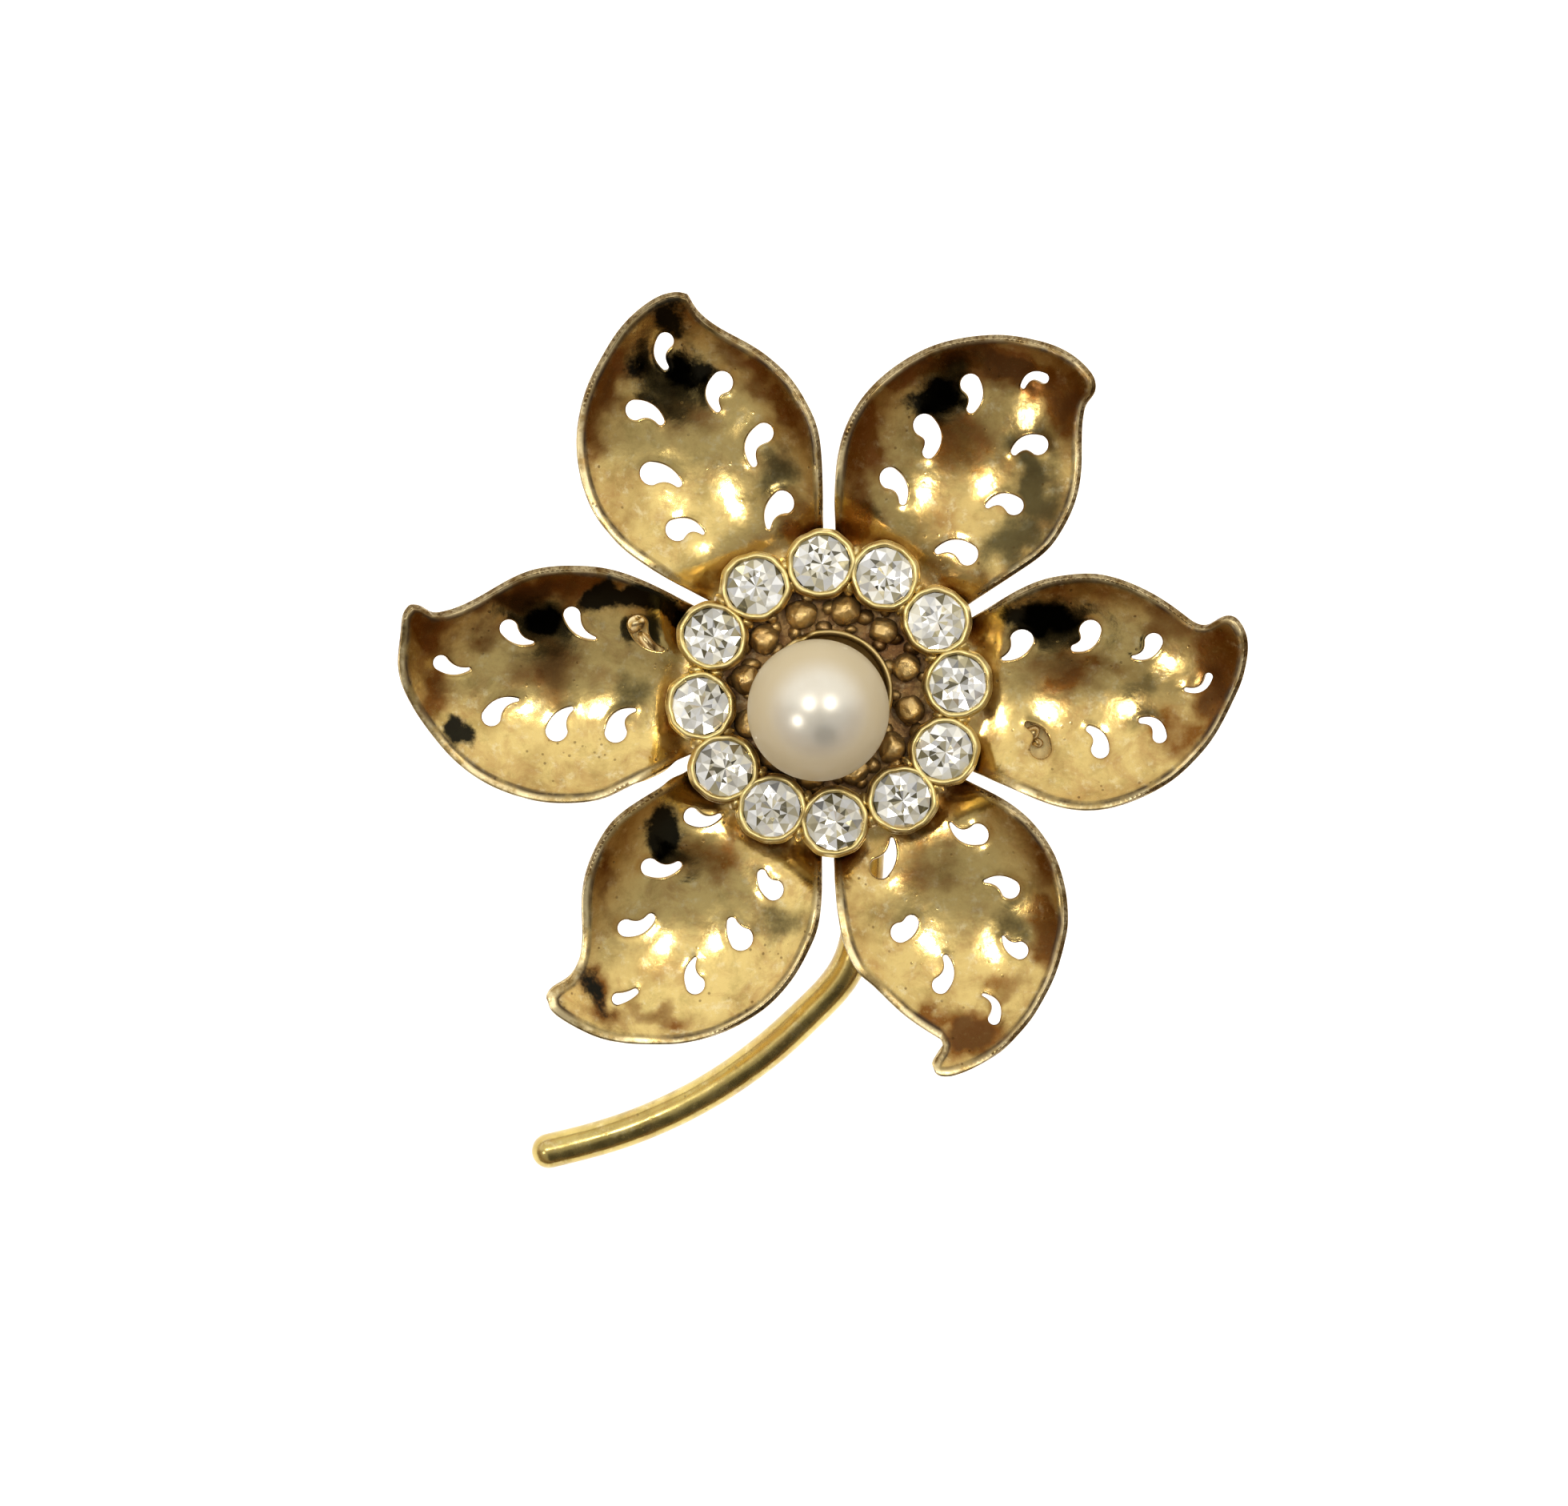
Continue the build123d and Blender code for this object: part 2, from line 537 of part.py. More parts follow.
# --- stem -------------------------------------------------------------------
def make_stem():
    n = len(STEM_PATH)
    run = [0.0]
    for i in range(1, n):
        run.append(run[-1] + math.dist(STEM_PATH[i], STEM_PATH[i - 1]))
    guide = Edge.make_spline([Vector(x, y) for x, y in STEM_PATH])
    sections = []
    count = 15
    for i in range(count):
        t = i / (count - 1)
        p = guide @ t
        d = guide % t
        s = t * run[-1]
        fall = smoothstep((s - 4.0) / (run[-1] - 6.0))
        z = (HUB_Z0 - STEM_HEIGHT) * (1.0 - fall)
        plane = Plane(origin=(p.X, p.Y, z), x_dir=(d.Y, -d.X, 0),
                      z_dir=(d.X, d.Y, 0))
        # local x across, local y up (or down, whichever the frame gives)
        up = 1.0 if plane.y_dir.Z > 0 else -1.0
        w = STEM_WIDTH / 2
        h = STEM_HEIGHT * up
        arc = Edge.make_spline([Vector(-w, 0), Vector(-w * 0.93, h * 0.36),
                                Vector(-w * 0.70, h * 0.72),
                                Vector(-w * 0.35, h * 0.94), Vector(0, h),
                                Vector(w * 0.35, h * 0.94),
                                Vector(w * 0.70, h * 0.72),
                                Vector(w * 0.93, h * 0.36), Vector(w, 0)])
        base = Edge.make_line(Vector(w, 0), Vector(-w, 0))
        face = Face(Wire([arc, base]))
        sections.append(plane * face)
    rail = loft(sections)
    end = guide @ 1.0
    w, h = STEM_WIDTH / 2, STEM_HEIGHT
    half = Face(Wire([
        Edge.make_spline([Vector(w, 0, 0), Vector(w * 0.93, 0, h * 0.36),
                          Vector(w * 0.70, 0, h * 0.72),
                          Vector(w * 0.35, 0, h * 0.94), Vector(0, 0, h)],
                         tangents=[Vector(0, 0, 1), Vector(-1, 0, 0)]),
        Edge.make_line(Vector(0, 0, h), Vector(0, 0, 0)),
        Edge.make_line(Vector(0, 0, 0), Vector(w, 0, 0))]))
    dome = revolve(half, Axis.Z, 360)
    body = rail + Pos(end.X, end.Y, 0) * dome
    # flat against the hub plate at the top, flat on the table at the foot
    body -= disc(HUB_R + 2, HUB_Z0, HUB_Z0 + 1)
    return body - block(-30, 10, -40, 5, -1, 0)


# --- build and write --------------------------------------------------------
NODES = {}
for name, data in PETALS.items():
    NODES[name] = petal(data)
NODES["hub_plate"] = make_hub_plate()
NODES["bead_plate"] = make_bead_plate()
NODES["crown_ring"] = make_crown_ring()
for number, angle in enumerate(STONE_ANGLES, start=1):
    NODES["chaton_%02d" % number] = stone(angle)
NODES["pearl_cup"] = make_pearl_cup()
NODES["pearl_peg"] = make_peg()
NODES["pearl"] = make_pearl()
NODES["stem"] = make_stem()
NODES["pin_bar"] = place_bar(make_pin_bar())
NODES["hinge_rivet"] = place_bar(make_rivet())
NODES["pin_stem"] = place_bar(make_pin_stem())
NODES["catch_housing"] = place_bar(make_catch_housing())
NODES["catch_lock"] = place_bar(make_catch_lock())

os.makedirs("parts", exist_ok=True)
low, high = [1e9] * 3, [-1e9] * 3
for name, shape in NODES.items():
    solids = shape.solids()
    if len(solids) != 1:
        print("NOTE", name, "has", len(solids), "solids",
              [round(s.volume, 3) for s in solids])
        if not solids:
            continue
    solid = max(solids, key=lambda s: s.volume)
    solid = Pos(SHIFT[0], SHIFT[1], 0) * solid
    box = solid.bounding_box()
    for k, (a, b) in enumerate(zip(box.min, box.max)):
        low[k], high[k] = min(low[k], a), max(high[k], b)
    print("%-20s %9.2f mm3  z %.2f..%.2f valid %s" % (
        name, solid.volume, box.min.Z, box.max.Z, solid.is_valid))
    export_step(solid, "parts/" + name + ".step")
print("whole", [round(v, 3) for v in low], [round(v, 3) for v in high])
print("middle", round((low[0] + high[0]) / 2, 3), round((low[1] + high[1]) / 2, 3))
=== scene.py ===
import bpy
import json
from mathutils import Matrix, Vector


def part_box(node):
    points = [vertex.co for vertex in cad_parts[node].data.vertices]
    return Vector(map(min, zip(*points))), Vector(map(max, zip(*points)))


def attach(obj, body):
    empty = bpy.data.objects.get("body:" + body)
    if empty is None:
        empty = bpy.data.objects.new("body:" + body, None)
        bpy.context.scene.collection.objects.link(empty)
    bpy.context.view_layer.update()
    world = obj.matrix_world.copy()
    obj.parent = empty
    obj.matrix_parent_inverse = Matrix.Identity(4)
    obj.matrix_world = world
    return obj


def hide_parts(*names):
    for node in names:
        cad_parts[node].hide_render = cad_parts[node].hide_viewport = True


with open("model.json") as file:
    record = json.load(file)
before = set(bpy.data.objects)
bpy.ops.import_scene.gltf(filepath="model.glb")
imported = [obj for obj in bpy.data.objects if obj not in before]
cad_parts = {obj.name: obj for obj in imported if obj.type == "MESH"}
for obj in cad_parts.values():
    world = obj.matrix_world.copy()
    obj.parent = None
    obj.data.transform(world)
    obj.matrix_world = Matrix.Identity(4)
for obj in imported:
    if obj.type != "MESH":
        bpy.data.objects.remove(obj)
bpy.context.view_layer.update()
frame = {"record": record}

import json
import math

import bmesh
import bpy
import numpy as np
from mathutils import Matrix, Vector
from mathutils.geometry import delaunay_2d_cdt

MM = 0.001


# ---------------------------------------------------------------------------
# Places, from the frame.  Lengths below are in millimetres unless they say so.
# ---------------------------------------------------------------------------
def box_mm(node):
    lo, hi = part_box(node)
    return np.array(lo) / MM, np.array(hi) / MM


lo, hi = box_mm("hub_plate")
AX, AY = (lo[0] + hi[0]) / 2, (lo[1] + hi[1]) / 2      # the flower's axis
HUB_Z0, HUB_BOSS_Z = lo[2], hi[2]
HUB_R = (hi[0] - lo[0]) / 2
lo, hi = box_mm("bead_plate")
BEAD_PLATE_R = (hi[0] - lo[0]) / 2
BEAD_PLATE_Z0 = lo[2]
BEAD_TOP_Z = hi[2]
lo, hi = box_mm("crown_ring")
CUP_Z0, CUP_Z1 = lo[2], hi[2]
lo, hi = box_mm("chaton_01")
STONE_Z0, STONE_Z1 = lo[2], hi[2]
lo, hi = box_mm("pearl")
PEARL_C = (lo + hi) / 2
PEARL_R = (hi[2] - lo[2]) / 2
lo, hi = box_mm("pearl_cup")
PEARL_CUP_R = (hi[0] - lo[0]) / 2
PEARL_CUP_Z1 = hi[2]
RECORD = frame["record"]
JOINTS = {j["name"]: j for j in RECORD["behaviour"]["joints"]}
HINGE = np.array(JOINTS["pin_hinge"]["pos_m"]) / MM
HINGE_AXIS = np.array(JOINTS["pin_hinge"]["axis"], float)
LOCK = np.array(JOINTS["catch_lock_turn"]["pos_m"]) / MM
BAR_DIR = np.array(JOINTS["catch_lock_turn"]["axis"], float)
BAR_N = HINGE_AXIS
PIN_Z = HINGE[2]
ROOT, PIN, LOCKBODY = "flower", "pin", "lock"



# ---------------------------------------------------------------------------
# Numbers and shapes
# ---------------------------------------------------------------------------
def smoothstep(t):
    t = np.clip(t, 0.0, 1.0)
    return t * t * (3.0 - 2.0 * t)


def ripple(x, y, size, seed):
    """Smooth, repeatable unevenness of about +-1, with features of that size."""
    rng = np.random.RandomState(seed)
    out = np.zeros_like(x, dtype=float)
    for _ in range(9):
        a = rng.uniform(0, 2 * math.pi)
        f = 2 * math.pi / size * rng.uniform(0.6, 1.5)
        out += np.sin(f * (x * math.cos(a) + y * math.sin(a)) + rng.uniform(0, 6.28))
    return out / 3.6


def natural_spline(points, step):
    """Points along a natural cubic spline through the given points."""
    p = np.asarray(points, float)
    n = len(p)
    if n == 2:
        m = max(2, int(np.linalg.norm(p[1] - p[0]) / step) + 1)
        return p[0] + (p[1] - p[0]) * np.linspace(0, 1, m)[:, None]
    t = np.r_[0, np.cumsum(np.linalg.norm(np.diff(p, axis=0), axis=1))]
    h = np.diff(t)
    a = np.zeros((n, n))
    b = np.zeros((n, p.shape[1]))
    a[0, 0] = a[-1, -1] = 1
    for i in range(1, n - 1):
        a[i, i - 1], a[i, i], a[i, i + 1] = h[i - 1], 2 * (h[i - 1] + h[i]), h[i]
        b[i] = 6 * ((p[i + 1] - p[i]) / h[i] - (p[i] - p[i - 1]) / h[i - 1])
    m = np.linalg.solve(a, b)
    s = np.linspace(0, t[-1], max(3, int(t[-1] / step) + 1))
    k = np.clip(np.searchsorted(t, s, side="right") - 1, 0, n - 2)
    d0, d1 = (s - t[k])[:, None], (t[k + 1] - s)[:, None]
    hk = h[k][:, None]
    return (m[k] * d1 ** 3 / (6 * hk) + m[k + 1] * d0 ** 3 / (6 * hk)
            + (p[k] / hk - m[k] * hk / 6) * d1
            + (p[k + 1] / hk - m[k + 1] * hk / 6) * d0)


def corner_runs(points, limit=42.0):
    runs, run = [], [points[0]]
    for i in range(1, len(points) - 1):
        a = np.subtract(points[i], points[i - 1])
        b = np.subtract(points[i + 1], points[i])
        turn = abs(math.degrees(math.atan2(a[0] * b[1] - a[1] * b[0], a.dot(b))))
        run.append(points[i])
        if turn > limit:
            runs.append(run)
            run = [points[i]]
    run.append(points[-1])
    runs.append(run)
    return runs


def polar(r, deg):
    return np.array([r * math.cos(math.radians(deg)), r * math.sin(math.radians(deg))])


def comma_loop(hx, hy, r0, tx, ty, bend, r1, step=0.07):
    dx, dy = tx - hx, ty - hy
    c = np.array([(hx + tx) / 2 - bend * dy, (hy + ty) / 2 + bend * dx])
    h, t = np.array([hx, hy]), np.array([tx, ty])
    s = np.linspace(0, 1, 13)[:, None]
    mid = (1 - s) ** 2 * h + 2 * s * (1 - s) * c + s * s * t
    g = 2 * (1 - s) * (c - h) + 2 * s * (t - c)
    g /= np.linalg.norm(g, axis=1)[:, None]
    r = r1 + (r0 - r1) * (1 - s)
    side = np.c_[-g[:, 1], g[:, 0]]
    left, right = mid + side * r, mid - side * r
    a1 = math.atan2(g[-1, 1], g[-1, 0])
    tail = t + r1 * np.array([[math.cos(a1 + q), math.sin(a1 + q)]
                              for q in np.radians([60, 30, 0, -30, -60])])
    a0 = math.atan2(g[0, 1], g[0, 0])
    head = h + r0 * np.array([[math.cos(a0 + q), math.sin(a0 + q)]
                              for q in np.radians(np.arange(-105, -256, -15))])
    loop = np.vstack([left, tail, right[::-1], head])
    return even(loop, step)


def even(loop, step):
    """The closed loop again, with evenly spaced points."""
    q = np.vstack([loop, loop[:1]])
    d = np.r_[0, np.cumsum(np.linalg.norm(np.diff(q, axis=0), axis=1))]
    keep = np.r_[True, np.diff(d) > 1e-9]
    q, d = q[keep], d[keep]
    m = max(8, int(round(d[-1] / step)))
    s = np.linspace(0, d[-1], m + 1)[:-1]
    return np.c_[np.interp(s, d, q[:, 0]), np.interp(s, d, q[:, 1])]


def signed_area(loop):
    x, y = loop[:, 0], loop[:, 1]
    return 0.5 * np.sum(x * np.roll(y, -1) - y * np.roll(x, -1))


def inside(points, loop):
    res = np.zeros(len(points), bool)
    x, y = points[:, 0], points[:, 1]
    ax, ay = loop[:, 0], loop[:, 1]
    bx, by = np.roll(ax, -1), np.roll(ay, -1)
    for i in range(len(loop)):
        cond = (ay[i] > y) != (by[i] > y)
        if not cond.any():
            continue
        xs = ax[i] + (y[cond] - ay[i]) * (bx[i] - ax[i]) / (by[i] - ay[i])
        hit = x[cond] < xs
        idx = np.nonzero(cond)[0][hit]
        res[idx] = ~res[idx]
    return res


def distance(points, loop):
    """Distance of each point from a closed loop of segments."""
    a, b = loop, np.roll(loop, -1, axis=0)
    ab = b - a
    l2 = np.maximum((ab ** 2).sum(1), 1e-12)
    out = np.empty(len(points))
    for i in range(0, len(points), 2000):
        p = points[i:i + 2000, None, :]
        t = np.clip(((p - a) * ab).sum(2) / l2, 0, 1)
        out[i:i + 2000] = np.sqrt((((a + t[..., None] * ab) - p) ** 2).sum(2)).min(1)
    return out


def hex_grid(lo, hi, step):
    xs = np.arange(lo[0], hi[0], step)
    rows = []
    for j, y in enumerate(np.arange(lo[1], hi[1], step * 0.866)):
        rows.append(np.c_[xs + (step / 2 if j % 2 else 0), np.full(len(xs), y)])
    return np.vstack(rows)


def offset_row(loop, d):
    """A row of points beside a loop, d to its left."""
    t = np.roll(loop, -1, axis=0) - np.roll(loop, 1, axis=0)
    t /= np.maximum(np.linalg.norm(t, axis=1), 1e-9)[:, None]
    return loop + np.c_[-t[:, 1], t[:, 0]] * d


def triangulate(outer, holes, step, rows=(0.09, 0.22)):
    """Triangles that fill a plan outline with holes: (points, triangles,
    boundary loops as lists of point numbers).  Outer runs anticlockwise, holes
    clockwise, so the material is always on a loop's left."""
    loops = [outer if signed_area(outer) > 0 else outer[::-1]]
    for h in holes:
        loops.append(h[::-1] if signed_area(h) > 0 else h)
    lo, hi = outer.min(0), outer.max(0)
    free = []
    for d in rows:
        for lp in loops:
            q = offset_row(lp, d)
            free.append(q if d == rows[0] else q[::2])
    cand = np.vstack(free)
    ok = inside(cand, loops[0])
    dist = distance(cand, loops[0])
    for lp in loops[1:]:
        ok &= ~inside(cand, lp)
        dist = np.minimum(dist, distance(cand, lp))
    base = np.concatenate([np.full(len(f), rows[k // len(loops)])
                           for k, f in enumerate(free)])
    cand = cand[ok & (dist > base * 0.86)]
    grid = hex_grid(lo, hi, step)
    ok = inside(grid, loops[0])
    dist = distance(grid, loops[0])
    for lp in loops[1:]:
        ok &= ~inside(grid, lp)
        dist = np.minimum(dist, distance(grid, lp))
    grid = grid[ok & (dist > rows[-1] + step * 0.55)]
    # drop free points that crowd each other
    cell = {}
    keep = []
    for i, (x, y) in enumerate(cand):
        key = (int(math.floor(x / 0.05)), int(math.floor(y / 0.05)))
        if key in cell:
            continue
        cell[key] = True
        keep.append(i)
    cand = cand[keep]
    pts, edges, marks = [], [], []
    for lp in loops:
        k = len(pts)
        pts += [tuple(p) for p in lp]
        n = len(lp)
        edges += [(k + i, k + (i + 1) % n) for i in range(n)]
        marks.append(list(range(k, k + n)))
    pts += [tuple(p) for p in cand] + [tuple(p) for p in grid]
    vs, es, fs, ov, oe, of_ = delaunay_2d_cdt(
        [Vector(p) for p in pts], edges, [], 0, 1e-7, True)
    v = np.array([(p.x, p.y) for p in vs])
    back = {}
    for new, olds in enumerate(ov):
        for o in olds:
            back[o] = new
    f = np.array([list(t) for t in fs if len(t) == 3])
    c = v[f].mean(1)
    ok = inside(c, loops[0])
    for lp in loops[1:]:
        ok &= ~inside(c, lp)
    f = f[ok]
    # all triangles anticlockwise
    a = v[f]
    s = ((a[:, 1, 0] - a[:, 0, 0]) * (a[:, 2, 1] - a[:, 0, 1])
         - (a[:, 1, 1] - a[:, 0, 1]) * (a[:, 2, 0] - a[:, 0, 0]))
    f[s < 0] = f[s < 0][:, ::-1]
    f = f[np.abs(s) > 1e-9]
    return v, f, [[back[i] for i in m] for m in marks]


def boundary_loops(f):
    """Directed boundary edges of a triangle set, chained into loops."""
    seen = {}
    for t in f:
        for a, b in ((t[0], t[1]), (t[1], t[2]), (t[2], t[0])):
            seen[(int(a), int(b))] = True
    nxt = {}
    for a, b in seen:
        if (b, a) not in seen:
            nxt.setdefault(a, []).append(b)
    loops = []
    while nxt:
        start = next(iter(nxt))
        loop, cur = [start], start
        while True:
            b = nxt[cur].pop()
            if not nxt[cur]:
                del nxt[cur]
            if b == start:
                break
            loop.append(b)
            cur = b
            if cur not in nxt:
                break
        loops.append(loop)
    return loops


def make_object(name, verts_mm, faces, attrs=None, smooth=True, offset=(0, 0, 0),
                sharp_deg=None):
    """Mesh object from millimetre points; attrs are per-point floats."""
    v = (np.asarray(verts_mm, float) + np.asarray(offset)) * MM
    me = bpy.data.meshes.new(name)
    me.from_pydata([tuple(p) for p in v], [], [tuple(int(i) for i in f) for f in faces])
    me.update()
    for key, values in (attrs or {}).items():
        layer = me.attributes.new(key, "FLOAT", "POINT")
        layer.data.foreach_set("value", np.asarray(values, np.float32))
    me.polygons.foreach_set("use_smooth", [smooth] * len(me.polygons))
    ob = bpy.data.objects.new(name, me)
    bpy.context.scene.collection.objects.link(ob)
    if sharp_deg is not None:
        bm = bmesh.new()
        bm.from_mesh(me)
        lim = math.radians(sharp_deg)
        for e in bm.edges:
            if len(e.link_faces) == 2 and e.calc_face_angle(0) > lim:
                e.smooth = False
        bm.to_mesh(me)
        bm.free()
    return ob


def merge(parts):
    """Several (verts, faces[, attrs]) into one."""
    vs, fs, ats, k = [], [], {}, 0
    keys = set()
    for p in parts:
        if len(p) > 2:
            keys |= set(p[2])
    for p in parts:
        v, f = np.asarray(p[0], float), p[1]
        vs.append(v)
        fs += [tuple(int(i) + k for i in g) for g in f]
        for key in keys:
            vals = p[2].get(key) if len(p) > 2 else None
            ats.setdefault(key, []).append(np.zeros(len(v)) if vals is None else vals)
        k += len(v)
    return np.vstack(vs), fs, {a: np.concatenate(b) for a, b in ats.items()}


def lathe(profile, seg=64, centre=(0, 0), wobble=None):
    """Closed solid turned from (r, z) points, first and last on the axis or
    the profile closed on itself if neither is."""
    prof = np.asarray(profile, float)
    on_axis = prof[0, 0] < 1e-6 and prof[-1, 0] < 1e-6
    ang = np.linspace(0, 2 * math.pi, seg, endpoint=False)
    verts, faces = [], []
    rows = prof[1:-1] if on_axis else prof
    for r, z in rows:
        rr = r * (1 + (wobble(ang, z) if wobble else 0))
        verts.append(np.c_[centre[0] + rr * np.cos(ang), centre[1] + rr * np.sin(ang),
                           np.full(seg, z)])
    v = np.vstack(verts)
    n = len(rows)
    for i in range(n - 1 if on_axis else n):
        a, b = i * seg, ((i + 1) % n) * seg
        for j in range(seg):
            k = (j + 1) % seg
            faces.append((a + j, a + k, b + k, b + j))
    if on_axis:
        v = np.vstack([v, [centre[0], centre[1], prof[0, 1]],
                       [centre[0], centre[1], prof[-1, 1]]])
        p0, p1 = n * seg, n * seg + 1
        for j in range(seg):
            k = (j + 1) % seg
            faces.append((p0, k, j))
            faces.append((p1, (n - 1) * seg + j, (n - 1) * seg + k))
    return v, faces


def plate_mesh(outer, holes, z0, z1, bevel=0.08, step=0.8, seg=2):
    """Flat plate with rounded edges, in its own x, y and z."""
    v, f, _ = triangulate(outer, holes, step, rows=(bevel * 1.2, bevel * 2.4))
    loops = boundary_loops(f)
    n = len(v)
    edge = np.zeros(n)
    for lp in loops:
        edge[lp] = 1
    top = np.c_[v, np.full(n, z1)]
    bot = np.c_[v, np.full(n, z0)]
    verts = [top, bot]
    faces = [tuple(t) for t in f] + [(int(a) + n, int(c) + n, int(b) + n)
                                     for a, b, c in f]
    k = 2 * n
    ts = np.linspace(0, math.pi / 2, seg + 2)
    for lp in loops:
        p = v[lp]
        t = np.roll(p, -1, axis=0) - np.roll(p, 1, axis=0)
        t /= np.maximum(np.linalg.norm(t, axis=1), 1e-9)[:, None]
        inn = np.c_[-t[:, 1], t[:, 0]]
        m = len(lp)
        # pull the flat faces' rims in, then step out round the edge
        top[lp, :2] = p + inn * bevel
        bot[lp, :2] = p + inn * bevel
        rows = [np.array(lp)]
        for a in ts[1:]:
            rows.append(np.arange(k, k + m))
            verts.append(np.c_[p + inn * bevel * (1 - math.sin(a)),
                               np.full(m, z1 - bevel * (1 - math.cos(a)))])
            k += m
        for a in ts[1:][::-1]:
            rows.append(np.arange(k, k + m))
            verts.append(np.c_[p + inn * bevel * (1 - math.sin(a)),
                               np.full(m, z0 + bevel * (1 - math.cos(a)))])
            k += m
        rows.append(np.array(lp) + n)
        for r0, r1 in zip(rows[:-1], rows[1:]):
            for i in range(m):
                j = (i + 1) % m
                faces.append((r0[i], r1[i], r1[j], r0[j]))
    return np.vstack(verts), faces


def to_bar(v):
    """From the bar's frame (s along the pin, n across, z up; s = 0 at the
    hinge, n = 0 on the pin) to the row frame."""
    v = np.asarray(v, float)
    return (np.array([HINGE[0], HINGE[1], 0.0]) + v[:, :1] * BAR_DIR
            + v[:, 1:2] * BAR_N + v[:, 2:] * np.array([0, 0, 1.0]))


def turned(v, order):
    """Swap axes of a plate: order names where its x, y, z go."""
    out = np.zeros_like(v)
    for i, axis in enumerate(order):
        out[:, "xyz".index(axis)] = v[:, i]
    return out


